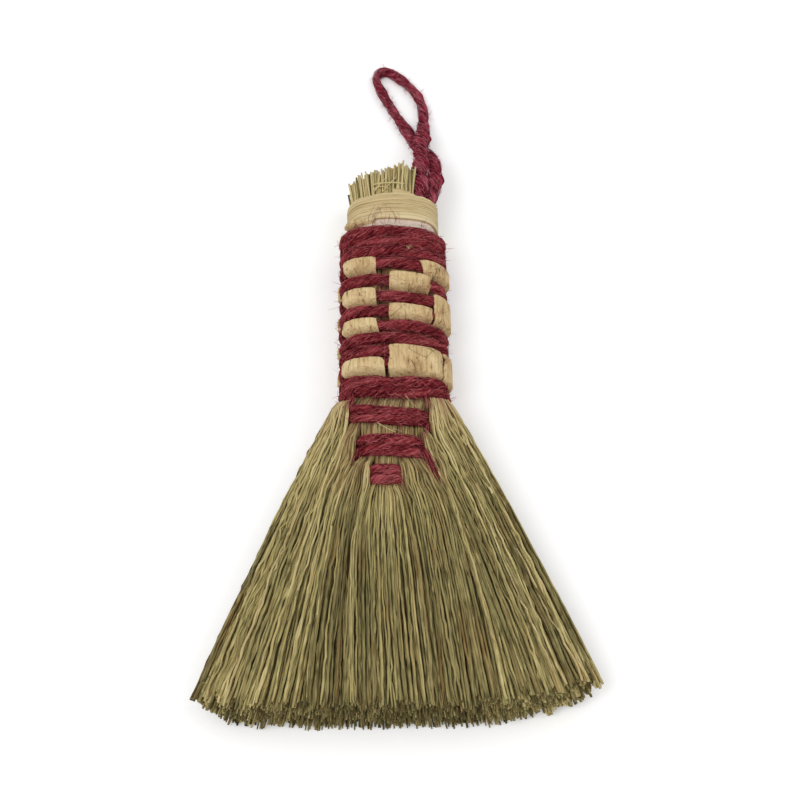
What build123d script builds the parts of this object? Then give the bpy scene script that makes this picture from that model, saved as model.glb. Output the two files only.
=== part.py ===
from build123d import *
import os
from math import asin, cos, hypot, pi, radians, sin, sqrt, tan

# A small flat hand whisk of fine grass stems, lying on its back.
# X runs across the fan, Y from the sweeping tips to the hanging loop, Z up.
# The floor is z = 0, and the stems, without the loop, are centred on the origin in X and Y.

# Whole size
HALF_LENGTH = 118.5
AXIS_Z = 13.35
FLOOR_REACH = 200.0

# Bound bundle of stems, a four-arc oval
CORE_HALF_WIDTH = 16.5
CORE_HALF_HEIGHT = 7.5
HEAD_HALF_WIDTH = 16.7
HEAD_HALF_HEIGHT = 10.3
HEAD_SIZE = (HEAD_HALF_WIDTH, HEAD_HALF_HEIGHT, 0.0)
HANK_GAP = 0.3
HEAD_TOP_Y = 98.0
HEAD_LOW_Y = 90.2
NECK_Y = 88.9

# Jute twine
TWINE = 3.8
TURN_PITCH = 4.5
LEAST_GAP = 0.4
GAP_SAMPLES = 6
OWN_STRETCH = 3.0
PLAIT_BED = 1.25
BAND_BED = 0.3
TOP_WRAP_ROWS = [84.6, 80.2, 75.8]
WEAVE_ROWS = [70.3, 61.8, 54.0, 46.9, 40.0, 33.9, 28.1, 21.9]
SHOULDER_ROWS = [13.4, 9.0]
TWINE_ROWS = TOP_WRAP_ROWS + WEAVE_ROWS + SHOULDER_ROWS

# Stepped bands down the fan: the middle of each one, and half width and height of what it ties
BANDS = {
    "upper": {"x": -2.3, "y": -2.5, "core": (12.1, 7.3)},
    "middle": {"x": -1.7, "y": -15.0, "core": (9.2, 7.1)},
    "lower": {"x": -3.7, "y": -26.0, "core": (3.4, 6.6)},
}
BAND_REACH = 4.65

# Edges between the hanks, outward from the middle, where each wrap holds them
SHOULDER_EDGES = (3.6, 8.2, 12.0, CORE_HALF_WIDTH)
BAND_EDGES = {
    "upper": (3.4, 8.0, 11.95),
    "middle": (3.3, 8.8),
    "lower": (2.75,),
}

# Split-stalk plait, over (U) or under (O) each row of twine in turn
STALK = 0.9
STALK_UNDER = 0.6
STALK_OVER = 5.7
STALK_CORNER = 1.66
STALK_MITRE = 0.3
STALK_TOP_Y = 86.0
STALK_LOW_Y = 9.6
STALK_SECTIONS = 6
PLAIT = {
    "plait_stalk_front_left": (-19.8, -6.2, "UOUOUOOU"),
    "plait_stalk_front_middle": (-1.0, 14.7, "OUOUOOUU"),
    "plait_stalk_right_side": (17.3, 27.5, "UOUUOOUU"),
    "plait_stalk_back_right": (31.0, 39.6, "OUOUOUOU"),
    "plait_stalk_back_inner_right": (43.2, 51.8, "UOUOUOUO"),
    "plait_stalk_back_inner_left": (55.4, 64.0, "OUOUOUOU"),
    "plait_stalk_left_side": (66.2, 74.6, "UOUOUOUO"),
}

# Fan of stems
ROWS = 8
STRAND_FILL = 0.72
ROOT_FILL = 0.85
ROOT_HEIGHT_SHARE = 0.9
ROOT_SINK = 0.6
TIP_HALF_WIDTH = 76.5
TIP_HALF_HEIGHT = 12.64
TIP_AXIS_Z = 11.7
TIP_UPPER_SETBACK = 4.0
TIP_CORNER_SETBACK = 9.0
TIP_RAGGED = 2.2
FAN_HALF_HEIGHT = 8.4
EDGE_POWER = 4.0
EDGE_MARGIN = 1.0

# Cut stem ends above the wraps
STUB_PITCH = 2.5
STUB_ROWS = 5
STUB_FILL = 0.86
STUB_SLANT = 5.0
STUB_PEAK_X = 4.0
STUB_RAGGED = 1.6
STUB_LEAN = 0.4
STUB_LEAST = 0.8

# Thin wraps at the head
TAPE_INSIDE = 0.25
TAPE = 0.5
TAPE_LOW_Y = 90.4
TAPE_TOP_Y = 103.6
STRIP_INSIDE = 0.9
STRIP = 0.95
STRIP_LOW_Y = 92.3
STRIP_TOP_Y = 104.7

# Hanging loop: a cord that leaves the head, lies on the floor in an eye and goes back in
LOOP_CORD = 4.2
LOOP_SHARE = 0.45
LOOP_ROUTE = [
    (13.7, 98.0, 16.0),
    (13.7, 105.5, 16.0),
    (16.8, 113.0, 15.9),
    (18.0, 122.5, 15.2),
    (17.2, 132.0, 11.6),
    (14.3, 141.2, 6.0),
    (10.6, 149.8, 2.3),
    (6.1, 158.2, 2.2),
    (1.9, 166.4, 2.2),
    (-1.9, 174.2, 2.2),
    (-4.7, 181.0, 2.2),
    (-6.8, 187.2, 2.2),
    (-6.1, 190.0, 2.2),
    (-3.8, 191.8, 2.2),
    (-0.9, 191.5, 2.2),
    (3.0, 188.2, 2.2),
    (6.9, 184.3, 2.2),
    (10.4, 179.6, 2.2),
    (13.0, 173.2, 2.2),
    (13.9, 165.4, 2.4),
    (13.5, 156.6, 5.2),
    (12.9, 147.4, 9.0),
    (12.3, 138.2, 12.4),
    (12.0, 129.2, 15.2),
    (12.0, 120.4, 18.0),
    (11.8, 112.4, 19.5),
    (10.2, 105.0, 19.4),
    (10.2, 98.0, 19.4),
]


def ragged(i, j):
    """A repeatable uneven value between 0 and 1."""
    return (i * 7 + j * 5 + i * j * 3) % 11 / 10


def mix(low, high, share):
    return low + (high - low) * share


def oval_arcs(half_width, half_height):
    """Radii of the flat and side arcs of the oval, and the angle where they meet."""
    total = half_width + half_height
    reach = (sqrt(total**2 + 2 * (half_width**2 + half_height**2)) - total) / 2
    meet_x = (half_width + reach) / 2
    meet_z = (half_height + reach) / 2
    rise = half_height - meet_z
    flat_radius = (meet_x**2 + rise**2) / (2 * rise)
    side = half_width - meet_x
    side_radius = (meet_z**2 + side**2) / (2 * side)
    return flat_radius, side_radius, asin(meet_x / flat_radius)


def oval_height(x, half_width, half_height, bed):
    """Half height of a tied bundle at a distance x, on a curve even with its twine."""
    depth = bed + TWINE / 2
    flat_radius, side_radius, angle = oval_arcs(half_width + depth, half_height + depth)
    flat_radius -= depth
    side_radius -= depth
    x = min(abs(x), half_width)
    if x <= flat_radius * sin(angle):
        return half_height - flat_radius + sqrt(flat_radius**2 - x**2)
    return sqrt(max(side_radius**2 - (x - half_width + side_radius) ** 2, 0.0))


def oval_face(y, half_width, half_height):
    """The oval as a face square to Y."""
    turns = [(half_width, 0), (0, half_height), (-half_width, 0), (0, -half_height)]
    ways = [(0, 1), (-1, 0), (0, -1), (1, 0)]
    edges = []
    for n in range(4):
        start, end = turns[n], turns[(n + 1) % 4]
        way, end_way = ways[n], ways[(n + 1) % 4]
        edges += biarc(
            Vector(start[0], y, AXIS_Z + start[1]),
            Vector(way[0], 0, way[1]),
            Vector(end[0], y, AXIS_Z + end[1]),
            Vector(end_way[0], 0, end_way[1]),
        )
    return Face(Wire(edges))


def biarc(start, way, end, end_way):
    """Two tangent arcs from start to end that leave and arrive in the given ways."""
    chord = end - start
    along = chord.dot(way + end_way)
    bend = 2 * (1 - way.dot(end_way))
    reach = (sqrt(along**2 + bend * chord.dot(chord)) - along) / bend
    joint = (start + end + (way - end_way) * reach) * 0.5
    joint_way = ((end - end_way * reach) - (start + way * reach)).normalized()
    return [
        Edge.make_tangent_arc(start, way, joint),
        Edge.make_tangent_arc(joint, joint_way, end),
    ]


def above_floor(part):
    """Cut a piece flat where it would reach below the floor."""
    return part & Pos(0, 0, FLOOR_REACH / 2) * Box(2 * FLOOR_REACH, 2 * FLOOR_REACH, FLOOR_REACH)


# Twine

QUARTERS = [((0, -1), (-1, 0)), ((-1, 0), (0, 1)), ((0, 1), (1, 0)), ((1, 0), (0, -1))]


def winding(name, first_quarter, levels, slopes, half_width, half_height, middle_x=0.0):
    """One unbroken tube of twine through a Y level at every quarter turn."""
    points, ways = [], []
    for n, (level, slope) in enumerate(zip(levels, slopes)):
        place, way = QUARTERS[(first_quarter + n) % 4]
        x, z = middle_x + place[0] * half_width, AXIS_Z + place[1] * half_height
        points.append(Vector(x, level, z))
        ways.append(Vector(way[0], slope, way[1]).normalized())
    edges = [Edge.make_line(points[0] - ways[0] * TWINE, points[0])]
    for n in range(len(points) - 1):
        edges += biarc(points[n], ways[n], points[n + 1], ways[n + 1])
    edges.append(Edge.make_line(points[-1], points[-1] + ways[-1] * TWINE))
    path = Wire(edges)
    mouth = Plane(origin=points[0] - ways[0] * TWINE, z_dir=ways[0])
    tube = sweep(mouth * Circle(TWINE / 2), path=path)
    report_tube(name, tube, edges, TWINE)
    return tube


def report_tube(name, tube, edges, diameter):
    """Print the least gap of a tube to itself, and its volume against section and length."""
    samples, travelled = [], 0.0
    for edge in edges:
        for step in range(GAP_SAMPLES):
            share = step / GAP_SAMPLES
            samples.append((travelled + edge.length * share, edge.position_at(share)))
        travelled += edge.length
    gap = min(
        (b - a).length
        for m, (s, a) in enumerate(samples)
        for t, b in samples[m + 1 :]
        if t - s > OWN_STRETCH * diameter
    )
    section = pi * diameter**2 / 4
    print(f"{name}: least gap to itself {gap - diameter:.2f}, length {travelled:.1f}")
    print(f"{name}: volume over section times length {tube.volume / section / travelled:.3f}")
    assert gap - diameter > LEAST_GAP


def binding_twine():
    """The long winding: top wrap, woven rows and shoulder wrap."""
    before = [2 * TWINE_ROWS[0] - TWINE_ROWS[1]]
    after = [2 * TWINE_ROWS[-1] - TWINE_ROWS[-2]]
    rows = before + TWINE_ROWS + after
    count = 4 * len(TWINE_ROWS) + 1
    levels = []
    for n in range(-1, count + 1):
        turn = n / 4 + 0.5
        row = min(int(turn), len(rows) - 2)
        levels.append(mix(rows[row], rows[row + 1], turn - row))
    half_width, half_height = twine_oval()
    quarter = oval_quarter(half_width, half_height)
    slopes = [(levels[n + 2] - levels[n]) / (2 * quarter) for n in range(count)]
    return winding("binding_twine", 0, levels[1:-1], slopes, half_width, half_height)


def twine_oval():
    """Half width and half height of the oval that the middle of the twine follows."""
    bed = PLAIT_BED + TWINE / 2
    return CORE_HALF_WIDTH + bed, CORE_HALF_HEIGHT + bed


def oval_quarter(half_width, half_height):
    """Length of a quarter of the oval."""
    flat_radius, side_radius, angle = oval_arcs(half_width, half_height)
    return flat_radius * angle + side_radius * (pi / 2 - angle)


def fan_band(name):
    """A band with two level rows over the front and one crossing behind."""
    band = BANDS[name]
    middle = band["y"]
    half_width, half_height = (size + BAND_BED + TWINE / 2 for size in band["core"])
    high, low = middle + TURN_PITCH / 2, middle - TURN_PITCH / 2
    levels = [high, high, high, middle, low, low, low]
    step = -TURN_PITCH / oval_quarter(half_width, half_height)
    slopes = [0, 0, 0, step, 0, 0, 0]
    return winding("twine_band_" + name, 1, levels, slopes, half_width, half_height, band["x"])


# Plait

def wrap_place(s, rise, y):
    """The point at a distance s round the twine's oval, and a rise off the stems."""
    flat_radius, side_radius, angle = oval_arcs(*twine_oval())
    bed = PLAIT_BED + TWINE / 2
    flat = flat_radius * angle
    quarter = oval_quarter(*twine_oval())
    s = (s + 2 * quarter) % (4 * quarter) - 2 * quarter
    side = 1 if s >= 0 else -1
    run = abs(s)
    behind = run > quarter
    if behind:
        run = 2 * quarter - run
    if run <= flat:
        turn, radius, centre_x = run / flat_radius, flat_radius, 0.0
        centre_z = CORE_HALF_HEIGHT + bed - flat_radius
    else:
        turn, radius = angle + (run - flat) / side_radius, side_radius
        centre_x, centre_z = CORE_HALF_WIDTH + bed - side_radius, 0.0
    radius += rise - bed
    x = centre_x + radius * sin(turn)
    z = centre_z + radius * cos(turn)
    return (side * x, y, AXIS_Z + (-z if behind else z))


def twine_level(row, s):
    """Y of a row of twine at a distance s round the bundle."""
    turn = row + s / (4 * oval_quarter(*twine_oval()))
    rows = TWINE_ROWS + [2 * TWINE_ROWS[-1] - TWINE_ROWS[-2]]
    low = min(max(int(turn), 0), len(rows) - 2)
    return mix(rows[low], rows[low + 1], turn - low)


def stalk_outline(s, pattern, rise, mitre):
    """Corners of one face of a stalk, from its top end down."""
    first = len(TOP_WRAP_ROWS)
    marks = "O" + pattern + "O"
    corners = [(STALK_TOP_Y, STALK_UNDER + rise)]
    for n in range(1, len(marks) - 1):
        if marks[n] != "U":
            continue
        row = first + n - 1
        if marks[n - 1] == "O":
            above = twine_level(row - 1, s) - STALK_CORNER + mitre
            corners.append((above, STALK_UNDER + rise))
            corners.append((twine_level(row, s) + STALK_CORNER + mitre, STALK_OVER + rise))
        if marks[n + 1] == "O":
            below = twine_level(row + 1, s) + STALK_CORNER - mitre
            corners.append((twine_level(row, s) - STALK_CORNER - mitre, STALK_OVER + rise))
            corners.append((below, STALK_UNDER + rise))
    corners.append((STALK_LOW_Y, STALK_UNDER + rise))
    return corners


def plait_stalk(start, end, pattern):
    """A flat stalk that passes over and under the twine, on the bundle's curve."""
    sections = []
    for n in range(STALK_SECTIONS + 1):
        s = mix(start, end, n / STALK_SECTIONS)
        outer = stalk_outline(s, pattern, STALK / 2, STALK_MITRE)
        inner = stalk_outline(s, pattern, -STALK / 2, -STALK_MITRE)
        corners = [wrap_place(s, rise, y) for y, rise in outer + inner[::-1]]
        sections.append(Wire.make_polygon(corners, close=True))
    return Solid.make_loft(sections, ruled=True)


# Hanks of stems

def slice_wire(y, inner, outer, half_width, half_height, bed, shift=0.0):
    """Outline of a hank where it is bound, between two distances from the middle at shift."""
    near = oval_height(inner, half_width, half_height, bed)
    low, high = AXIS_Z - near, AXIS_Z + near
    if outer >= half_width - HANK_GAP and half_width >= CORE_HALF_WIDTH:
        arc = ThreePointArc((inner, y, high), (half_width, y, AXIS_Z), (inner, y, low))
        return Wire([arc.edge(), Edge.make_line((inner, y, low), (inner, y, high))])
    far = oval_height(outer, half_width, half_height, bed)
    middle = oval_height((inner + outer) / 2, half_width, half_height, bed)
    inner, outer = inner + shift, outer + shift
    middle_x = (inner + outer) / 2
    top = ThreePointArc((inner, y, high), (middle_x, y, AXIS_Z + middle), (outer, y, AXIS_Z + far))
    under = ThreePointArc((outer, y, AXIS_Z - far), (middle_x, y, AXIS_Z - middle), (inner, y, low))
    side = Edge.make_line((outer, y, AXIS_Z + far), (outer, y, AXIS_Z - far))
    back = Edge.make_line((inner, y, low), (inner, y, high))
    return Wire([top.edge(), side, under.edge(), back])


def fan_half_height(x, y, half_width):
    """Half thickness of the fan at a place, thinning to its side edges."""
    share = min(abs(x) / (half_width + EDGE_MARGIN), 1.0)
    along = (BANDS["upper"]["y"] - y) / (BANDS["upper"]["y"] + HALF_LENGTH)
    full = mix(FAN_HALF_HEIGHT, TIP_HALF_HEIGHT, max(along, 0.0))
    return full * sqrt(1 - share**EDGE_POWER)


def fan_axis(y):
    """Height of the middle of the fan, which sinks towards the tips."""
    return mix(AXIS_Z, TIP_AXIS_Z, max(-y, 0) / HALF_LENGTH)


CORE_OVAL = (CORE_HALF_WIDTH, CORE_HALF_HEIGHT, PLAIT_BED)

# Where each hank is let go: columns of strands, the band that ties it last (or the shoulder
# wrap), the Y of its bound end, its strands' edges there and at the tips, and a Y with their
# edges just below, where they clear the next band
HANKS = {
    "center": {
        "number": 0, "columns": 8, "tied": "lower", "end_y": -29.2, "root": (-2.3, 2.3),
        "clears": None, "tips": (-13.2, 13.2),
    },
    "inner": {
        "number": 1, "columns": 6, "tied": "middle", "end_y": -19.1, "root": (4.1, 8.3),
        "clears": "lower", "spread": (-22.4, 7.8, 14.2), "tips": (13.6, 32.5),
    },
    "middle": {
        "number": 2, "columns": 5, "tied": "upper", "end_y": -6.9, "root": (9.0, 11.4),
        "clears": "middle", "spread": (-10.8, 13.4, 18.2), "tips": (32.9, 49.5),
    },
    "outer": {
        "number": 3, "columns": 8, "tied": None, "end_y": 6.9, "root": (12.5, 16.0),
        "clears": "upper", "spread": (1.3, 16.6, 25.0), "tips": (49.9, TIP_HALF_WIDTH),
    },
}


def quad(centre, width, height):
    """A rectangle square to Y."""
    x, y, z = centre
    corners = [(-1, -1), (1, -1), (1, 1), (-1, 1)]
    points = [(x + a * width / 2, y, z + b * height / 2) for a, b in corners]
    return Wire.make_polygon(points, close=True)


def grid_place(low, high, columns, i, j, y, axis_z, half_height, fill):
    """Centre, width and height of one strand's section in a hank's grid."""
    pitch = (high - low) / columns
    x = low + pitch * (i + 0.5)
    half = half_height(x)
    z = axis_z + half * (2 * (j + 0.5) / ROWS - 1)
    return (x, y, z), pitch * fill, 2 * half / ROWS * fill


def strand(hank, i, j, side):
    """One stem of the fan: four sides, from its band to its tip."""
    end_y = hank["end_y"] + ROOT_SINK
    columns = hank["columns"]
    tied, clears = BANDS.get(hank["tied"]), BANDS.get(hank["clears"])
    oval = (*tied["core"], BAND_BED) if tied else CORE_OVAL
    centre, width, height = grid_place(
        *hank["root"], columns, i, j, end_y, AXIS_Z,
        lambda x: oval_height(x, *oval) * ROOT_HEIGHT_SHARE, ROOT_FILL,
    )
    root_x = centre[0] + (side * tied["x"] if tied else 0)
    sections = [((root_x, *centre[1:]), width, height)]
    if clears:
        y, low, high = hank["spread"]
        low += side * clears["x"]
        high += side * clears["x"] / 2
        edge = HANKS["outer"]["spread"]
        fan_edge = edge[2] + (edge[0] - y) / (edge[0] + HALF_LENGTH) * (TIP_HALF_WIDTH - edge[2])
        sections.append(
            grid_place(
                low, high, columns, i, j, y, fan_axis(y),
                lambda x: fan_half_height(x, y, fan_edge), STRAND_FILL,
            )
        )
    tip, width, height = grid_place(
        *hank["tips"], columns, i, j, -HALF_LENGTH, TIP_AXIS_Z,
        lambda x: fan_half_height(x, -HALF_LENGTH, TIP_HALF_WIDTH), STRAND_FILL,
    )
    upper = TIP_UPPER_SETBACK * j / (ROWS - 1)
    corner = TIP_CORNER_SETBACK * (tip[0] / TIP_HALF_WIDTH) ** 2
    setback = upper + corner + TIP_RAGGED * ragged(i, j)
    start = sections[-1]
    share = 1 - setback / (start[0][1] + HALF_LENGTH)
    centre = tuple(mix(a, b, share) for a, b in zip(start[0], tip))
    sections.append((centre, mix(start[1], width, share), mix(start[2], height, share)))
    return Solid.make_loft([quad(*section) for section in sections], ruled=True)


def stub(x, z, width, height, number):
    """One cut stem end above the wraps."""
    rise = STUB_SLANT * min(abs(x - STUB_PEAK_X) / (STUB_PEAK_X + CORE_HALF_WIDTH), 1.0)
    top = HALF_LENGTH - rise - STUB_RAGGED * ragged(number, 2)
    low = quad((x, HEAD_TOP_Y - ROOT_SINK, z), width, height)
    lean = STUB_LEAN * (ragged(number, 5) - 0.5)
    high = quad((x + lean, top, z), width * STUB_FILL, height * STUB_FILL)
    return Solid.make_loft([low, high], ruled=True)


def hank_stubs(low, high, side):
    """The cut ends of one hank, clear of the loop's two legs."""
    columns = max(round((high - low) / STUB_PITCH), 1)
    pitch = (high - low) / columns
    stubs = []
    for i in range(columns):
        x = low + pitch * (i + 0.5)
        half = oval_height(abs(x) + pitch / 2, *HEAD_SIZE) - HANK_GAP
        row_pitch = 2 * half / STUB_ROWS
        for j in range(STUB_ROWS):
            z = AXIS_Z - half + row_pitch * (j + 0.5)
            legs = [LOOP_ROUTE[0], LOOP_ROUTE[-1]]
            room = min(hypot(side * x - leg[0], z - leg[2]) for leg in legs)
            if row_pitch > STUB_LEAST and room > LOOP_CORD / 2 + pitch:
                number = i * STUB_ROWS + j + round(abs(x))
                stubs.append(stub(x, z, pitch * STUB_FILL, row_pitch * STUB_FILL, number))
    return stubs


def hank_edges(edges, number, scale=1.0):
    """Inner and outer distance of a hank from the middle, with a gap to its neighbours."""
    inner = -edges[0] if number == 0 else edges[number - 1]
    return inner * scale + HANK_GAP / 2, edges[number] * scale - HANK_GAP / 2


def hank_column(spec, side):
    """The bound length of a hank, from the cut ends down to where it is let go."""
    number = spec["number"]
    head = hank_edges(SHOULDER_EDGES, number, HEAD_HALF_WIDTH / CORE_HALF_WIDTH)
    core = hank_edges(SHOULDER_EDGES, number)
    shoulder_y = HANKS["outer"]["end_y"]
    wires = [
        slice_wire(HEAD_TOP_Y, *head, *HEAD_SIZE),
        slice_wire(HEAD_LOW_Y, *head, *HEAD_SIZE),
        slice_wire(NECK_Y, *core, *CORE_OVAL),
        slice_wire(shoulder_y, *core, *CORE_OVAL),
    ]
    for name, band in BANDS.items():
        if number < len(BAND_EDGES[name]):
            edges = hank_edges(BAND_EDGES[name], number)
            oval = (*band["core"], BAND_BED)
            low_y = max(band["y"] - BAND_REACH, spec["end_y"])
            wires.append(slice_wire(band["y"] + BAND_REACH, *edges, *oval, side * band["x"]))
            wires.append(slice_wire(low_y, *edges, *oval, side * band["x"]))
    return Solid.make_loft(wires, ruled=True)


def hank(name, side=1):
    """A hank of stems: its bound length, its fan strands and its cut ends, in one solid."""
    spec = HANKS[name]
    scale = HEAD_HALF_WIDTH / CORE_HALF_WIDTH
    places = [(i, j) for i in range(spec["columns"]) for j in range(ROWS)]
    strands = [strand(spec, i, j, side) for i, j in places]
    stubs = hank_stubs(*hank_edges(SHOULDER_EDGES, spec["number"], scale), side)
    whole = above_floor(hank_column(spec, side).fuse(*strands, *stubs))
    print(f"hank {name} {side}: {len(strands)} fan strands, {len(stubs)} cut ends")
    return whole if side > 0 else mirror(whole, about=Plane.YZ)


# Wraps at the head and the hanging loop

def sleeve(inside, thickness, low_y, top_y):
    """A thin wrap round the head, between two levels."""
    inner = oval_face(low_y, HEAD_HALF_WIDTH + inside, HEAD_HALF_HEIGHT + inside)
    inside += thickness
    outer = oval_face(low_y, HEAD_HALF_WIDTH + inside, HEAD_HALF_HEIGHT + inside)
    return extrude(outer - inner, amount=top_y - low_y, dir=(0, 1, 0))


def loop_radii():
    """Each bend's radius, from its turn and the shorter run beside it."""
    radii = []
    for a, b, c in zip(LOOP_ROUTE, LOOP_ROUTE[1:], LOOP_ROUTE[2:]):
        first, second = Vector(b) - Vector(a), Vector(c) - Vector(b)
        turn = radians(first.get_angle(second))
        shorter = min(first.length, second.length)
        radii.append(LOOP_SHARE * shorter / tan(turn / 2))
    return radii


def hanging_loop():
    """The loop's tube: straight runs joined by tangent arcs."""
    radii = loop_radii()
    path = FilletPolyline(*LOOP_ROUTE, radius=radii)
    way = Vector(LOOP_ROUTE[1]) - Vector(LOOP_ROUTE[0])
    tube = sweep(Plane(origin=LOOP_ROUTE[0], z_dir=way) * Circle(LOOP_CORD / 2), path=path)
    print("hanging_loop: bend radii", [round(r, 1) for r in radii])
    share = tube.volume / (pi * LOOP_CORD**2 / 4 * path.length)
    print(f"hanging_loop: length {path.length:.1f}, volume over section times length {share:.3f}")
    return tube


def build():
    """Every piece by its name."""
    parts = {"hank_center": hank("center")}
    for name in ("inner", "middle", "outer"):
        parts[f"hank_{name}_right"] = hank(name, 1)
        parts[f"hank_{name}_left"] = hank(name, -1)
    for name, (start, end, pattern) in PLAIT.items():
        parts[name] = above_floor(plait_stalk(start, end, pattern))
    parts["binding_twine"] = binding_twine()
    for name in BANDS:
        parts["twine_band_" + name] = fan_band(name)
    parts["head_tape"] = sleeve(TAPE_INSIDE, TAPE, TAPE_LOW_Y, TAPE_TOP_Y)
    parts["head_strip_wrap"] = sleeve(STRIP_INSIDE, STRIP, STRIP_LOW_Y, STRIP_TOP_Y)
    parts["hanging_loop"] = hanging_loop()
    return parts


os.makedirs("parts", exist_ok=True)
for name, part in build().items():
    part.label = name
    export_step(part, f"parts/{name}.step")
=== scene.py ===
from math import cos, pi, radians, sin, sqrt, tau

import bpy
import numpy as np
from mathutils import Matrix, Vector


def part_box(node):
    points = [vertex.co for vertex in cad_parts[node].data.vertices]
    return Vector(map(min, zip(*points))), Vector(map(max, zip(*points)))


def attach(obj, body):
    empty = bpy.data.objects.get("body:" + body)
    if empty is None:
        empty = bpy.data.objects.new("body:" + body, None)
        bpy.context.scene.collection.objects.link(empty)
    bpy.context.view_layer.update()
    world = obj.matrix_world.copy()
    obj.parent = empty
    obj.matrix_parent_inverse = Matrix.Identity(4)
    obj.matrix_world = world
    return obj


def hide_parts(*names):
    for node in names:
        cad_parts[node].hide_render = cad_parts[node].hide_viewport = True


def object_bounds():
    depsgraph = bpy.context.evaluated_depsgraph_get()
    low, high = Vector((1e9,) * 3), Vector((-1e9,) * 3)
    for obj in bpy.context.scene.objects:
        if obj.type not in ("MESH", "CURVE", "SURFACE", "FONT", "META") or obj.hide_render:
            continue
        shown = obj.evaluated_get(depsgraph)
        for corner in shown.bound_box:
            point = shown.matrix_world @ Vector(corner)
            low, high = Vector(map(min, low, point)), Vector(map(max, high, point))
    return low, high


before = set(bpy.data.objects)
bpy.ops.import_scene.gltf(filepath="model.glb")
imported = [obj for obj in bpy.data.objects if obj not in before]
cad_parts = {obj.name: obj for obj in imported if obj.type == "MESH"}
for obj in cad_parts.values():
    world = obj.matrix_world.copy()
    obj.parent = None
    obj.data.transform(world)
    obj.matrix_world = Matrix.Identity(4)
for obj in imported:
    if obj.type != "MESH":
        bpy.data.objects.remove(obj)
cad_low, cad_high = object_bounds()

# A small flat hand whisk of fine grass stems. Everything is in metres: X across the fan, Y from
# the sweeping tips to the hanging loop, Z up off the surface it lies on.

# Camera, as the photograph was taken
CAMERA_DISTANCE = 0.750
CAMERA_ELEVATION = radians(57)
CAMERA_ROLL = radians(-0.75)
CAMERA_LENS = 87.75
CAMERA_SENSOR = 36.0
CAMERA_TARGET = Vector((0.0021, 0.012, 0.014))

# The twine's thickness, the room for the plait under it, and the Y of each of its turns
TWINE = 0.0038
PLAIT_BED = 0.00125
TOP_WRAP_ROWS = [0.0862, 0.0812, 0.0761]
WEAVE_ROWS = [0.0703, 0.0618, 0.0540, 0.0469, 0.0400, 0.0339, 0.0281, 0.0219]
SHOULDER_ROWS = [0.0134, 0.0090]
TWINE_ROWS = TOP_WRAP_ROWS + WEAVE_ROWS + SHOULDER_ROWS

# The hanging loop's route, point by point
LOOP_CORD = 0.0042
LOOP_ROUTE = [
    (0.0137, 0.0980, 0.0160),
    (0.0137, 0.1055, 0.0160),
    (0.0168, 0.1130, 0.0159),
    (0.0180, 0.1225, 0.0152),
    (0.0172, 0.1320, 0.0116),
    (0.0143, 0.1412, 0.0060),
    (0.0106, 0.1498, 0.0023),
    (0.0061, 0.1582, 0.0022),
    (0.0019, 0.1664, 0.0022),
    (-0.0019, 0.1742, 0.0022),
    (-0.0047, 0.1810, 0.0022),
    (-0.0068, 0.1872, 0.0022),
    (-0.0061, 0.1900, 0.0022),
    (-0.0038, 0.1918, 0.0022),
    (-0.0009, 0.1915, 0.0022),
    (0.0030, 0.1882, 0.0022),
    (0.0069, 0.1843, 0.0022),
    (0.0104, 0.1796, 0.0022),
    (0.0130, 0.1732, 0.0022),
    (0.0139, 0.1654, 0.0024),
    (0.0135, 0.1566, 0.0052),
    (0.0129, 0.1474, 0.0090),
    (0.0123, 0.1382, 0.0124),
    (0.0120, 0.1292, 0.0152),
    (0.0120, 0.1204, 0.0180),
    (0.0118, 0.1124, 0.0195),
    (0.0102, 0.1050, 0.0194),
    (0.0102, 0.0980, 0.0194),
]
# The length of one twist of the loop's cord
LOOP_LAY = 0.0210

# Thin fibres: how low they may lie, a way that none of them runs along, and their radii
FIBRE_LOWEST = 0.00012
FIBRE_FACING = (0.31, 0.17, 0.93)
FIBRE_THICK = (0.00005, 0.00011)

chance = np.random.default_rng(11)


# Meshes

def unit(vectors):
    return vectors / np.maximum(np.linalg.norm(vectors, axis=-1, keepdims=True), 1e-12)


def mix(low, high, share):
    return low + (high - low) * share


def smooth(share):
    share = np.clip(share, 0, 1)
    return share * share * (3 - 2 * share)


def waves(values, lengths, heights):
    """An uneven line, the same each run."""
    total = 0.0
    for length, height in zip(lengths, heights):
        total = total + height * np.sin(tau * values / length + chance.uniform(0, tau))
    return total


def add_object(name, data):
    made = bpy.data.objects.new(name, data)
    bpy.context.scene.collection.objects.link(made)
    return made


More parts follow.
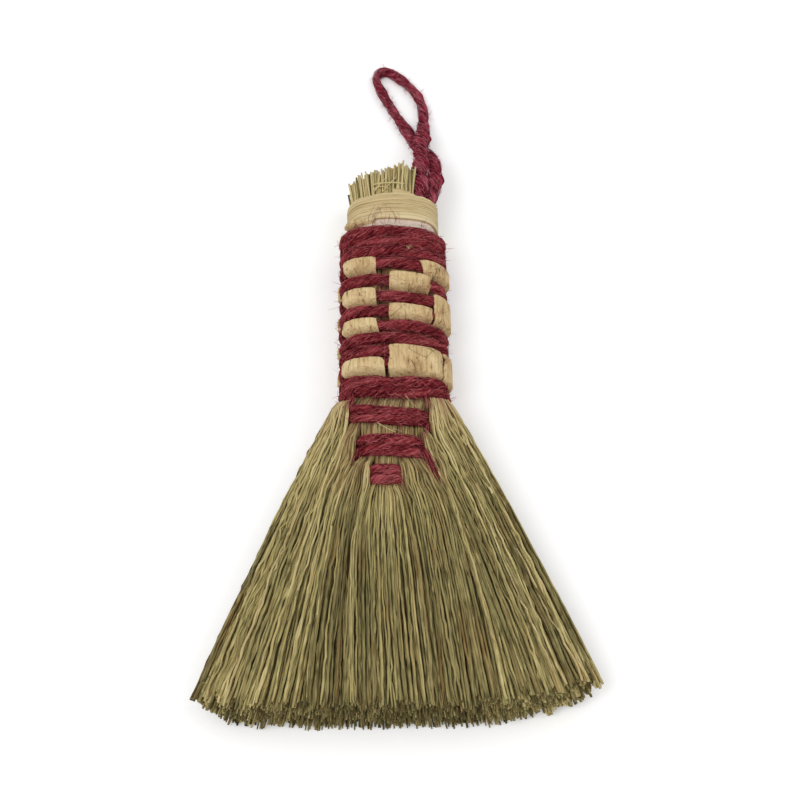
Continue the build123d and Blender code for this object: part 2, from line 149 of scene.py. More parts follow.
class Piece:
    """The mesh of one piece, gathered from tubes and strips, with the values its material reads."""

    def __init__(self):
        self.points, self.loops, self.sizes, self.values = [], [], [], []
        self.count = 0

    def add(self, rings, tint, grain, dye=0.0, closed=False):
        """Rings (n, m, k, 3) as n skins, each through m rings of k points.
        tint and dye are numbers for each skin or point, and grain a place in the pattern."""
        n, m, k, _ = rings.shape
        index = np.arange(n * m * k).reshape(n, m, k) + self.count
        near, far = (index, np.roll(index, -1, 1)) if closed else (index[:, :-1], index[:, 1:])
        quads = np.stack([near, far, np.roll(far, -1, 2), np.roll(near, -1, 2)], -1).reshape(-1, 4)
        self.loops.append(quads.ravel())
        self.sizes.append(np.full(len(quads), 4))
        if not closed:
            caps = np.concatenate([index[:, 0], index[:, -1, ::-1]])
            self.loops.append(caps.ravel())
            self.sizes.append(np.full(len(caps), k))
        self.points.append(rings.reshape(-1, 3))
        tint, dye = (np.reshape(v, (-1, 1, 1)) if np.ndim(v) == 1 else v for v in (tint, dye))
        tint, dye = (np.broadcast_to(v, (n, m, k)) for v in (tint, dye))
        grain = np.broadcast_to(grain, (n, m, k, 3)).reshape(-1, 3)
        self.values.append(np.column_stack([tint.ravel(), dye.ravel(), grain]))
        self.count += n * m * k

    def make(self, name, material, slot, *nodes):
        """The object, riding on the broom in place of its CAD nodes."""
        points = np.concatenate(self.points).astype(np.float32)
        loops = np.concatenate(self.loops).astype(np.int32)
        sizes = np.concatenate(self.sizes).astype(np.int32)
        values = np.concatenate(self.values).astype(np.float32)
        mesh = bpy.data.meshes.new(name)
        mesh.vertices.add(len(points))
        mesh.vertices.foreach_set("co", points.ravel())
        mesh.loops.add(len(loops))
        mesh.loops.foreach_set("vertex_index", loops)
        mesh.polygons.add(len(sizes))
        mesh.polygons.foreach_set("loop_start", np.concatenate([[0], np.cumsum(sizes)[:-1]]))
        mesh.polygons.foreach_set("loop_total", sizes)
        for column, value in enumerate(("tint", "dye")):
            layer = mesh.attributes.new(value, "FLOAT", "POINT")
            layer.data.foreach_set("value", values[:, column].copy())
        layer = mesh.attributes.new("grain", "FLOAT_VECTOR", "POINT")
        layer.data.foreach_set("vector", values[:, 2:].ravel())
        mesh.update()
        mesh.validate()
        mesh.shade_smooth()
        mesh.materials.append(material)
        made = add_object(name, mesh)
        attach(made, "root")
        if nodes:
            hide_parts(*nodes)
        return made


def frames(centres, outward):
    """Ways along each path, and the two directions square to it, the second nearest outward."""
    ways = unit(np.gradient(centres, axis=1))
    across = unit(np.cross(ways, outward))
    return ways, across, np.cross(across, ways)


def tubes(piece, centres, radii, sides, tint, outward=(0, 0, 1), dye=0.0):
    """Many round tubes at once: centres (n, m, 3), radii (n, m)."""
    _, across, up = frames(centres, np.asarray(outward, float))
    turn = np.arange(sides) * tau / sides
    ring = across[:, :, None] * np.cos(turn)[:, None] + up[:, :, None] * np.sin(turn)[:, None]
    rings = centres[:, :, None] + ring * radii[:, :, None, None]
    steps = np.linalg.norm(np.diff(centres, axis=1), axis=-1)
    along = np.concatenate([np.zeros((len(centres), 1)), np.cumsum(steps, 1)], 1)
    place = chance.uniform(0, 1, (len(centres), 1, 1, 2))
    grain = np.concatenate([
        np.broadcast_to(place, (*rings.shape[:3], 2)) + rings[..., [0, 2]],
        np.broadcast_to(along[:, :, None, None], (*rings.shape[:3], 1)),
    ], -1)
    piece.add(rings, tint, grain, dye)


def fibres(piece, centres, thick, taper, shade, limits):
    """Thin dyed fibres: their radii at the root times a taper, and shades about a middle."""
    centres[..., 2] = np.maximum(centres[..., 2], FIBRE_LOWEST)
    radii = chance.uniform(*thick, (len(centres), 1)) * taper
    tint = np.clip(chance.normal(*shade, len(centres)), *limits)
    tubes(piece, centres, radii, 3, tint, outward=FIBRE_FACING)


# The bundle's curve

class Oval:
    """A four-arc oval square to Y, walked by the distance s round it from its top middle."""

    def __init__(self, half_width, half_height, x=0.0, z=0.0):
        total = half_width + half_height
        reach = (sqrt(total**2 + 2 * (half_width**2 + half_height**2)) - total) / 2
        meet_x, meet_z = (half_width + reach) / 2, (half_height + reach) / 2
        rise, side = half_height - meet_z, half_width - meet_x
        self.flat_radius = (meet_x**2 + rise**2) / (2 * rise)
        self.side_radius = (meet_z**2 + side**2) / (2 * side)
        self.angle = np.arcsin(meet_x / self.flat_radius)
        self.flat = self.flat_radius * self.angle
        self.quarter = self.flat + self.side_radius * (pi / 2 - self.angle)
        self.round = 4 * self.quarter
        self.x, self.z = x, z
        self.half_width, self.half_height = half_width, half_height

    def place(self, s, y, rise=0.0):
        """Points at a distance s round the oval and a rise off it, and the way outward there."""
        s, y, rise = np.broadcast_arrays(np.asarray(s, float), y, rise)
        wrapped = (s + self.round / 2) % self.round - self.round / 2
        side = np.where(wrapped >= 0, 1.0, -1.0)
        run = np.abs(wrapped)
        behind = run > self.quarter
        run = np.where(behind, self.round / 2 - run, run)
        on_flat = run <= self.flat
        turn = np.where(on_flat, run / self.flat_radius,
                        self.angle + (run - self.flat) / self.side_radius)
        radius = np.where(on_flat, self.flat_radius, self.side_radius)
        x0 = np.where(on_flat, 0.0, self.half_width - self.side_radius)
        z0 = np.where(on_flat, self.half_height - self.flat_radius, 0.0)
        flip = np.where(behind, -1.0, 1.0)
        x = side * (x0 + (radius + rise) * np.sin(turn))
        z = flip * (z0 + (radius + rise) * np.cos(turn))
        outward = np.stack([side * np.sin(turn), np.zeros_like(x), flip * np.cos(turn)], -1)
        return np.stack([self.x + x, y, self.z + z], -1), outward

    def height(self, x, depth):
        """Half height at x of the curve that lies a depth inside the oval."""
        flat_radius, side_radius = self.flat_radius - depth, self.side_radius - depth
        half_width, half_height = self.half_width - depth, self.half_height - depth
        x = np.minimum(np.abs(x - self.x), half_width)
        flat = half_height - flat_radius + np.sqrt(np.maximum(flat_radius**2 - x**2, 0))
        side = np.sqrt(np.maximum(side_radius**2 - (x - half_width + side_radius) ** 2, 0))
        return np.where(x <= flat_radius * np.sin(self.angle), flat, side)


twine_low, twine_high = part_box("binding_twine")
AXIS_Z = (twine_low.z + twine_high.z) / 2
twine_oval = Oval(twine_high.x - TWINE / 2, twine_high.z - AXIS_Z - TWINE / 2, 0.0, AXIS_Z)
TWINE_DEPTH = PLAIT_BED + TWINE / 2

# Stepped bands down the fan: middle, half width and height of the twine's line, pitch of its two
# rows, width of a turn, how far its ends lie up the fan, and how far it tilts
BANDS = {
    "upper": {"x": -0.0024, "y": -0.0009, "half": (0.0154, 0.0099), "pitch": 0.0035,
              "width": 0.0041, "bow": 0.0014, "tilt": 0.0015},
    "middle": {"x": -0.00175, "y": -0.0139, "half": (0.0128, 0.0098), "pitch": 0.0045,
               "width": 0.0049, "bow": 0.0002, "tilt": 0.0007},
    "lower": {"x": -0.00345, "y": -0.0262, "half": (0.0061, 0.0094), "pitch": 0.0040,
              "width": 0.0044, "bow": 0.0007, "tilt": 0.0002},
}
# How far inside a band's line its stems end, and how square its ring is
BAND_DEPTH = 0.0017
BAND_POWER = 3.0


class BandShape:
    """A band's flattened ring square to Y."""

    def __init__(self, name):
        band = BANDS[name]
        self.x, self.y = band["x"], band["y"]
        self.half_width, self.half_height = band["half"]
        self.bow, self.tilt = band["bow"], band["tilt"]

    def level(self, x):
        """How far up the fan the front of the band lies at each x."""
        across = np.clip((x - self.x) / self.half_width, -1, 1)
        return self.bow * across**2 - self.tilt * across

    def place(self, turn, y):
        """Points at a part of a turn from the back, going left to right over the front."""
        angle = -tau * (turn + 0.25)
        power = 2 / BAND_POWER
        across = np.sign(np.cos(angle)) * np.abs(np.cos(angle)) ** power
        up = np.sign(np.sin(angle)) * np.abs(np.sin(angle)) ** power
        y = y + self.bow * across**2 - self.tilt * across * np.sign(up)
        x, z = self.x + self.half_width * across, AXIS_Z + self.half_height * up
        points = np.stack([x, y, z], -1)
        outward = unit(np.stack([across / self.half_width * np.abs(across), 0 * across,
                                 up / self.half_height * np.abs(up)], -1))
        return points, outward

    def height(self, x, depth):
        share = np.clip(np.abs(x - self.x) / (self.half_width - depth), 0, 1)
        return (self.half_height - depth) * (1 - share**BAND_POWER) ** (1 / BAND_POWER)


bands = {name: BandShape(name) for name in BANDS}


# Materials

def srgb(red, green, blue):
    """A colour written as it shows on a screen, from 0 to 255."""
    parts = (part / 255 for part in (red, green, blue))
    return [c / 12.92 if c <= 0.04045 else ((c + 0.055) / 1.055) ** 2.4 for c in parts] + [1.0]


class Shader:
    """A material's nodes, made and joined in short steps."""

    def __init__(self, name):
        self.material = bpy.data.materials.new(name)
        self.material.use_nodes = True
        self.nodes = self.material.node_tree.nodes
        self.links = self.material.node_tree.links
        self.surface = self.nodes["Principled BSDF"]

    def node(self, kind, **settings):
        made = self.nodes.new("ShaderNode" + kind)
        for key, value in settings.items():
            setattr(made, key, value)
        return made

    def put(self, value, socket):
        if isinstance(value, bpy.types.NodeSocket):
            self.links.new(value, socket)
        else:
            socket.default_value = value

    def value(self, name, kind="Fac"):
        return self.node("Attribute", attribute_name=name).outputs[kind]

    def math(self, operation, *values, clamp=False):
        made = self.node("Math", operation=operation, use_clamp=clamp)
        for value, socket in zip(values, made.inputs):
            self.put(value, socket)
        return made.outputs[0]

    def noise(self, across, along, detail=2.0, rough=0.5):
        """Noise with a fineness across the grain and another along it."""
        place = self.node("VectorMath", operation="MULTIPLY")
        self.put(self.value("grain", "Vector"), place.inputs[0])
        place.inputs[1].default_value = (across, across, along)
        made = self.node("TexNoise")
        self.put(place.outputs[0], made.inputs["Vector"])
        for name, value in (("Scale", 1.0), ("Detail", detail), ("Roughness", rough)):
            made.inputs[name].default_value = value
        return made.outputs["Fac"]

    def shade(self, base, *noises):
        """The mesh's own tint less a base, plus noises times their weights, kept from 0 to 1."""
        share = self.math("SUBTRACT", self.value("tint"), base)
        for noise, weight in noises:
            share = self.math("MULTIPLY_ADD", noise, weight, share)
        return self.math("ADD", share, 0.0, clamp=True)

    def ramp(self, share, *stops):
        """Colours along a share: each stop is its place, red, green and blue."""
        made = self.node("ValToRGB")
        self.put(share, made.inputs[0])
        colours = made.color_ramp.elements
        while len(colours) < len(stops):
            colours.new(0.5)
        for element, (place, *colour) in zip(colours, stops):
            element.position = place
            element.color = srgb(*colour)
        return made.outputs[0]

    def spots(self, noise, low, high):
        """Nothing where the noise is under low, and all where it is over high."""
        return self.ramp(noise, (low, 0, 0, 0), (high, 255, 255, 255))

    def stain(self, colour, share, strength, *second):
        """The colour, turned to a second one by a share of a strength."""
        made = self.node("Mix", data_type="RGBA")
        self.put(self.math("MULTIPLY", share, strength), made.inputs[0])
        self.put(colour, made.inputs[6])
        self.put(srgb(*second), made.inputs[7])
        return made.outputs[2]

    def finish(self, colour, roughness, bump=None, distance=0.0002, sheen=0.0, specular=0.4):
        self.put(colour, self.surface.inputs["Base Color"])
        self.put(roughness, self.surface.inputs["Roughness"])
        self.surface.inputs["Sheen Weight"].default_value = sheen
        self.surface.inputs["Specular IOR Level"].default_value = specular
        if bump is not None:
            made = self.node("Bump")
            made.inputs["Distance"].default_value = distance
            self.put(bump, made.inputs["Height"])
            self.put(made.outputs[0], self.surface.inputs["Normal"])
        return self.material


def stem_material():
    """Dried grass stems: olive to straw, each stem its own shade, with fine lines along it, and
    some of the twine's dye rubbed off on them near it."""
    s = Shader("grass_stem")
    streak = s.noise(1300, 110, 3)
    shade = s.shade(0.57, (s.noise(40, 70, 3), 0.70), (streak, 0.44))
    colour = s.ramp(shade, (0.00, 58, 51, 28), (0.25, 106, 96, 58), (0.50, 148, 137, 90),
                    (0.75, 184, 170, 112), (1.00, 214, 197, 144))
    colour = s.stain(colour, s.spots(s.noise(70, 32), 0.48, 0.72), 0.42, 160, 118, 68)
    colour = s.stain(colour, s.spots(s.noise(55, 14), 0.50, 0.74), 0.36, 116, 116, 80)
    mottle = s.spots(s.noise(90, 160), 0.30, 0.66)
    dye = s.math("MULTIPLY", s.value("dye"), mottle, clamp=True)
    return s.finish(s.stain(colour, dye, 1.0, 146, 80, 74), 0.75, streak, 0.0001, specular=0.15)


def jute_material(name, dark, middle, light):
    """Dyed jute: mottled streaks of fibre along the yarn, darker between them."""
    s = Shader(name)
    fibre, fine = s.noise(3.2, 240, 4, 0.65), s.noise(10, 700, 3, 0.65)
    share = s.shade(0.745, (fibre, 0.55), (fine, 0.45), (s.noise(0.5, 150, 3), 0.55))
    colour = s.ramp(share, (0.20, *dark), (0.50, *middle), (0.82, *light))
    return s.finish(colour, 1.0, s.math("ADD", fibre, fine), 0.0006, specular=0.03)


def stalk_material():
    """Pale split stalk: fine grain along it, thin dark cracks and a few brown specks."""
    s = Shader("split_stalk")
    wide, fine = s.noise(900, 60, 4, 0.6), s.noise(2600, 170, 3)
    share = s.shade(0.81, (wide, 0.55), (fine, 0.45), (s.noise(150, 130, 3), 0.62))
    colour = s.ramp(share, (0.22, 112, 78, 46), (0.38, 184, 150, 106), (0.54, 214, 186, 136),
                    (0.78, 238, 215, 169))
    split = s.ramp(s.noise(1500, 70, 1), (0.24, 255, 255, 255), (0.32, 0, 0, 0))
    colour = s.stain(colour, split, 0.6, 132, 96, 60)
    colour = s.stain(colour, s.spots(s.noise(900, 600, 1), 0.70, 0.78), 1.0, 132, 94, 58)
    return s.finish(colour, 0.7, s.math("ADD", wide, fine), 0.0004, specular=0.2)


def strip_material():
    """Smooth pale strip: fine lines along the wrap; the thin darker edges between its turns are
    painted shade from the mesh's tint.
    """
    s = Shader("strip_wrap")
    lines = s.noise(2200, 30, 3)
    share = s.shade(0.5, (lines, 0.75), (s.noise(200, 60, 3), 0.30))
    colour = s.ramp(share, (0.26, 146, 116, 74), (0.42, 196, 172, 124), (0.58, 219, 199, 153),
                    (0.78, 234, 218, 180))
    return s.finish(colour, 0.6, lines, 0.0003, specular=0.25)


def tape_material():
    """Thin white fibre tape, soft and a little pink where dye has rubbed off on it."""
    s = Shader("fibre_tape")
    fibre = s.noise(1200, 500, 4)
    share = s.shade(0.5, (fibre, 0.5), (s.noise(150, 90), 0.5))
    colour = s.ramp(share, (0.30, 206, 178, 156), (0.55, 228, 212, 196), (0.75, 242, 234, 224))
    return s.finish(colour, 0.85, fibre, 0.0003, sheen=0.1, specular=0.2)


stem_look = stem_material()
twine_look = jute_material("dyed_jute", (54, 5, 11), (146, 52, 59), (204, 110, 113))
loop_look = jute_material("dyed_loop_jute", (74, 12, 24), (163, 58, 74), (212, 122, 136))
stalk_look = stalk_material()
strip_look = strip_material()
tape_look = tape_material()


# Stems: how many across and through the fan, points along each, sides round it, its radii where
# it is bound and where it is free, and the small bends along it
STEM_COLUMNS = 144
STEM_ROWS = 22
STEM_STEPS = 57
STEM_SIDES = 5
STEM_RADII = (0.00023, 0.00045)
KINKS = 38
# How far out in the fan's thickness a stem begins to show, and how far in it is hidden and has
# only one point in a few
NEAR_SKIN = 0.72
HIDDEN_DEPTH = 0.62
HIDDEN_SKIP = 4
# How full a hank is where a band lets it go, how far locks gather, and how round they are
LET_GO_SHARE = 0.80
MOST_PULL = 0.85
LOCK_ROUNDING = 0.0016
# The tips: the lowest, half the fan's width and height there, the height of its middle, how far
# the upper tips stand back, and how far they droop
TIP_Y = cad_low.y
TIP_HALF_WIDTH = 0.0765
TIP_HALF_HEIGHT = 0.01264
TIP_AXIS_Z = 0.0117
TIP_UPPER_SETBACK = 0.0010
TIP_DROOP = 0.0042
# How far the tips lie up the fan from the lowest, from its left edge, -1, to its right, 1
TIP_LINE = ([-1.0, -0.9, -0.8, -0.6, -0.45, 0.38, 0.48, 0.6, 0.8, 0.93, 1.0],
            [0.0088, 0.0048, 0.0014, 0.0008, 0.0, 0.0, 0.0010, 0.0030, 0.0058, 0.0085, 0.0122])
SHOULDER_Y = 0.0040
SHOULDER_HALF_WIDTH = 0.0248
FLOW_END_Y = -0.1185
FAN_HALF_HEIGHT = 0.0091
FAN_START_Y = -0.0025
SIDES = {"left": -1, "right": 1}

# The hanks' two edges from the shoulder wrap down to the tips, in millimetres at each Y: where a
# band ties a hank, its edge lies inside the band and its neighbour's edge hugs the band's end
FLOW_Y = [16.5, 10.5, 7.8, 4.0, -0.9, -4.8, -9.5, -13.9, -18.2, -22.0, -26.2, -30.4, -36.0, -60.0,
          1000 * FLOW_END_Y]
FLOW = {
    "center": (
        [-3.5, -3.5, -4.0, -4.8, -5.6, -6.2, -6.6, -7.1, -7.6, -7.8, -8.0, -9.0, -10.6, -14.3,
         -13.4],
        [3.5, 3.5, 3.0, 2.4, 1.6, 1.2, 1.0, 0.9, 0.9, 0.9, 0.8, 1.6, 3.7, 7.3, 13.4]),
    "inner_left": (
        [-3.5, -3.5, -4.0, -4.8, -5.6, -6.2, -6.6, -7.2, -8.1, -9.4, -9.4, -9.1, -10.7, -14.4,
         -13.4],
        [-8.2, -8.4, -9.4, -10.6, -11.8, -12.5, -12.8, -12.9, -13.3, -15.3, -17.5, -19.3, -21.0,
         -25.4, -32.7]),
    "inner_right": (
        [3.5, 3.5, 3.0, 2.4, 1.6, 1.2, 1.0, 1.0, 1.2, 1.9, 2.1, 1.7, 3.8, 7.4, 13.4],
        [8.2, 8.4, 8.6, 8.7, 8.8, 9.1, 9.2, 9.4, 9.9, 12.0, 14.2, 16.0, 18.2, 24.2, 32.7]),
    "middle_left": (
        [-8.2, -8.4, -9.4, -10.8, -12.0, -12.8, -14.1, -14.9, -15.0, -15.8, -17.7, -19.4, -21.1,
         -25.5, -32.7],
        [-12.1, -13.2, -15.6, -15.9, -16.1, -16.8, -19.6, -21.2, -22.7, -24.1, -25.6, -27.1, -29.2,
         -35.8, -49.7]),
    "middle_right": (
        [8.2, 8.4, 8.6, 8.8, 9.0, 9.6, 10.8, 11.6, 11.9, 12.9, 14.5, 16.1, 18.2, 24.2, 32.7],
        [12.1, 12.3, 12.9, 11.4, 11.3, 11.4, 13.7, 15.5, 16.9, 18.0, 18.8, 20.2, 22.3, 30.2, 49.7]),
    "outer_left": (
        [-12.1, -13.4, -15.9, -17.2, -17.7, -18.0, -19.6, -21.2, -22.7, -24.1, -25.6, -27.1, -29.2,
         -35.8, -49.7],
        [-16.3, -17.2, -22.2, -25.2, -27.7, -29.6, -31.8, -33.8, -35.7, -37.4, -39.3, -41.2, -43.6,
         -52.2, -75.2]),
    "outer_right": (
        [12.1, 12.4, 13.1, 13.5, 13.6, 13.4, 14.2, 15.5, 16.9, 18.0, 18.8, 20.2, 22.3, 30.2, 49.7],
        [16.3, 17.0, 20.8, 23.0, 25.4, 27.3, 29.7, 31.9, 33.9, 35.8, 37.8, 39.7, 42.2, 52.2, 76.5]),
}
# What ties each hank at each of those Y
TIES = {
    "center": ["core"] * 3 + ["upper"] * 3 + ["middle"] * 3 + ["lower"] * 3 + [None] * 3,
    "inner": ["core"] * 3 + ["upper"] * 3 + ["middle"] * 3 + [None] * 6,
    "middle": ["core"] * 3 + ["upper"] * 3 + [None] * 9,
    "outer": ["core"] * 2 + [None] * 13,
}
TIED = {"core": (twine_oval, TWINE_DEPTH)}
TIED.update({name: (shape, BAND_DEPTH) for name, shape in bands.items()})
SHARES = {"center": (-0.175, 0.175), "inner": (0.175, 0.427), "middle": (0.427, 0.650),
          "outer": (0.650, 1.0)}
# How much of the twine's dye the stems have at each Y, for the hanks under the bands and the outer
DYE_Y = [-0.040, -0.030, -0.018, -0.009, -0.003, 0.003, 0.008]
DYE = {"outer": [0, 0, 0, 0.05, 0.10, 0.35, 0.75], "bound": [0, 0.16, 0.36, 0.44, 0.50, 0.58, 0.70]}
# Tone of each hank near the bands: middle hanks darker, painted shadow; outer hanks golden, partly
# painted light
NEAR_BAND_TONE_AND_SHADOW = {"center": 0.02, "inner_left": 0.03, "inner_right": 0.02, "middle_left": -0.12,
              "middle_right": -0.06, "outer_left": 0.21, "outer_right": 0.16}


def fan_half_width(y):
    """Half width of the fan, a straight line from the shoulder to the tips."""
    share = (SHOULDER_Y - y) / (SHOULDER_Y - FLOW_END_Y)
    return mix(SHOULDER_HALF_WIDTH, TIP_HALF_WIDTH, share)


def fan_half_height(x, y):
    share = np.minimum(np.abs(x) / (fan_half_width(y) + 0.001), 1.0)
    along = np.clip((FAN_START_Y - y) / (FAN_START_Y - TIP_Y), 0, 1)
    return mix(FAN_HALF_HEIGHT, TIP_HALF_HEIGHT, along) * np.sqrt(1 - share**4)


def fan_axis(y):
    return mix(AXIS_Z, TIP_AXIS_Z, np.clip(-y / -TIP_Y, 0, 1))


def curve_through(levels, values, y):
    """Smooth curves through values (n, m) at falling levels (m), never past them, at y (n, k)."""
    gaps = np.diff(levels)
    slopes = np.diff(values, axis=1) / gaps
    before, after = slopes[:, :-1], slopes[:, 1:]
    same = before * after > 0
    middle = np.where(same, 2 * before * after / np.where(same, before + after, 1), 0)
    ends = np.concatenate([slopes[:, :1], middle, slopes[:, -1:]], 1)
    span = np.clip(np.searchsorted(-levels, -y) - 1, 0, len(gaps) - 1)
    share = np.clip((y - levels[span]) / gaps[span], 0, 1)
    rows = np.arange(len(values))[:, None]
    low, high = values[rows, span], values[rows, span + 1]
    low_way, high_way = ends[rows, span] * gaps[span], ends[rows, span + 1] * gaps[span]
    square, cube = share**2, share**3
    return (low * (2 * cube - 3 * square + 1) + low_way * (cube - 2 * square + share)
            + high * (3 * square - 2 * cube) + high_way * (cube - square))


# Locks: layers through the fan, their widths and how far across they reach, where the looser
# corners begin, and where the calm middle ends
LOCK_LAYERS = 5
LOCK_WIDTHS = (0.016, 0.058)
LOCK_REACH = 1.02
CORNER_FROM = 0.72
CALM_UP_TO = 0.66


def make_locks():
    """Edges of the locks that stems cling together in, across the fan, for each layer."""
    layers = []
    for _ in range(LOCK_LAYERS):
        edges = [-LOCK_REACH]
        while edges[-1] < LOCK_REACH:
            edges.append(edges[-1] + chance.uniform(*LOCK_WIDTHS))
        edges = np.array(edges)
        count = len(edges) - 1
        corner = smooth((np.abs(edges[1:]) - CORNER_FROM) / 0.2)
        calm = smooth((CALM_UP_TO - np.abs(edges[1:])) / 0.25)
        layers.append({
            "edges": edges,
            "pull": chance.uniform(0.20, 0.64, count) * (1 - 0.42 * calm) + 0.10 * corner,
            "hold": corner * chance.uniform(0.5, 1.0, count),
            "rise": chance.uniform(-0.0016, 0.0011, count) * (1 - 0.45 * calm),
            "drift": chance.uniform(-0.012, 0.012, count),
            "tint": chance.uniform(-0.28, 0.22, count) * (1 - 0.50 * calm),
            "tip": (chance.normal(0, 0.0010, count)
                    + corner * chance.uniform(-0.0010, 0.0044, count)),
        })
    return layers


locks = make_locks()


def in_locks(across, through):
    """Each stem's values from its lock, its place in it from -1 to 1, and the lock's middle."""
    layer = np.clip(((through + 1) / 2 * LOCK_LAYERS).astype(int), 0, LOCK_LAYERS - 1)
    found = {key: np.zeros(len(across)) for key in locks[0] if key != "edges"}
    place, middle = np.zeros(len(across)), np.zeros(len(across))
    for n, lock in enumerate(locks):
        mine = layer == n
        number = np.searchsorted(lock["edges"], across[mine]) - 1
        low, high = lock["edges"][number], lock["edges"][number + 1]
        middle[mine] = (low + high) / 2
        place[mine] = (across[mine] - middle[mine]) / ((high - low) / 2)
        for key in found:
            found[key][mine] = lock[key][number]
    return found, place, middle


def kinks(share, count):
    """Uneven bends along each of a number of stems, straight between one bend and the next."""
    bends = chance.normal(0, 1, (count, KINKS + 2))
    place = share * KINKS
    low = place.astype(int)
    return mix(bends[:, low], bends[:, low + 1], place - low)


def stem_heights(name, levels, x_at, through):
    """Z of the stems at each level: inside what ties the hank there, or spread through the fan."""
    z_at = []
    for n, (y, tie) in enumerate(zip(levels, TIES[name])):
        x = x_at[:, n]
        if tie:
            shape, depth = TIED[tie]
            half = shape.height(x, depth)
            if tie != "core" and TIES[name][n + 1] != tie:
                half = np.maximum(half, LET_GO_SHARE * fan_half_height(x, y))
            z_at.append(AXIS_Z + through * half)
        else:
            z_at.append(fan_axis(y) + through * fan_half_height(x, y))
    return np.array(z_at).T


def stem_tips(lock, across, through):
    """Y of each stem's tip: the cut line of the fan, its lock's own, and a few stems shorter."""
    upper = (through + 1) / 2
    tip = TIP_Y + TIP_UPPER_SETBACK * upper + np.interp(across, *TIP_LINE)
    short = np.where(chance.uniform(0, 1, len(across)) < 0.20, 0.0026, 0.0009)
    tip += lock["tip"] * (0.4 + 0.6 * upper) + np.abs(chance.normal(0, 1, len(across))) * short
    return np.maximum(tip, TIP_Y)


def stem_sway(name, x, y, z, free, share, near_skin):
    """Slow and quick waves, small kinks, and a few stems that stray off to one side."""
    one = (len(x), 1)
    phase = chance.uniform(0, tau, (4, *one))
    wild = chance.uniform(0.25, 1.0, one) * np.where(near_skin, 1.3, 0.8)
    wild = wild * (1.5 if name == "outer" else 1.0)
    slow, quick = (chance.uniform(a, b, one) for a, b in ((0.030, 0.060), (0.006, 0.012)))
    loose = 0.25 + 0.75 * smooth(free * 7)
    stray = np.where(chance.uniform(0, 1, one) < 0.12, 0.0026, 0.0008)
    x = x + loose * wild * (0.00022 * np.sin(tau * y / slow + phase[0])
                            + 0.00008 * np.sin(tau * y / quick + phase[1])
                            + 0.00019 * kinks(share, len(x)))
    x = x + chance.normal(0, 1, one) * stray * free * (1.15 - free) * 2.2
    z = z + loose * wild * (0.00024 * np.sin(tau * y / slow + phase[2])
                            + 0.00008 * np.sin(tau * y / quick + phase[3])
                            + 0.00017 * kinks(share, len(x)))
    return x, z


def stem_shades(name, suffix, lock, across, through, free, y):
    """Shade along each stem: its own, its lock's and side's, and its hank's near the bands."""
    count = len(across)
    under_twine = smooth((y + 0.001) / 0.004)
    own = chance.normal(0, 0.17 if name == "outer" else 0.10, count)
    own += np.where(chance.uniform(0, 1, count) < 0.08, 0.16, 0.0)
    own += 0.03 * (np.abs(across) > 0.5) + 0.06 * (through > 0.78) - 0.015 * across
    shade = 0.44 + own[:, None] * (1 + (1 - smooth(free * 4)) + 2 * under_twine)
    pale_side = 0.13 * (across > 0.40) + 0.06 * (across < -0.35)
    shade = shade + pale_side[:, None] * smooth(free * 1.6)
    shade = shade + lock["tint"][:, None] * smooth(free * 2.5) + 0.32 * under_twine
    # Near the bands: painted shadow on the middle hanks, golden tone and painted light on the outer
    # ones
    shade = shade + NEAR_BAND_TONE_AND_SHADOW[name + suffix] * (1 - smooth(free * 2.2))
    shade = shade + 0.10 * (1 - smooth(free * 1.5)) - 0.13 * smooth((free - 0.93) / 0.07)
    shade = shade + chance.normal(0, 0.06, shade.shape)
    shade = shade - 0.20 * (chance.uniform(0, 1, shade.shape) < 0.06)
    return np.clip(shade, 0.02, 1.0)


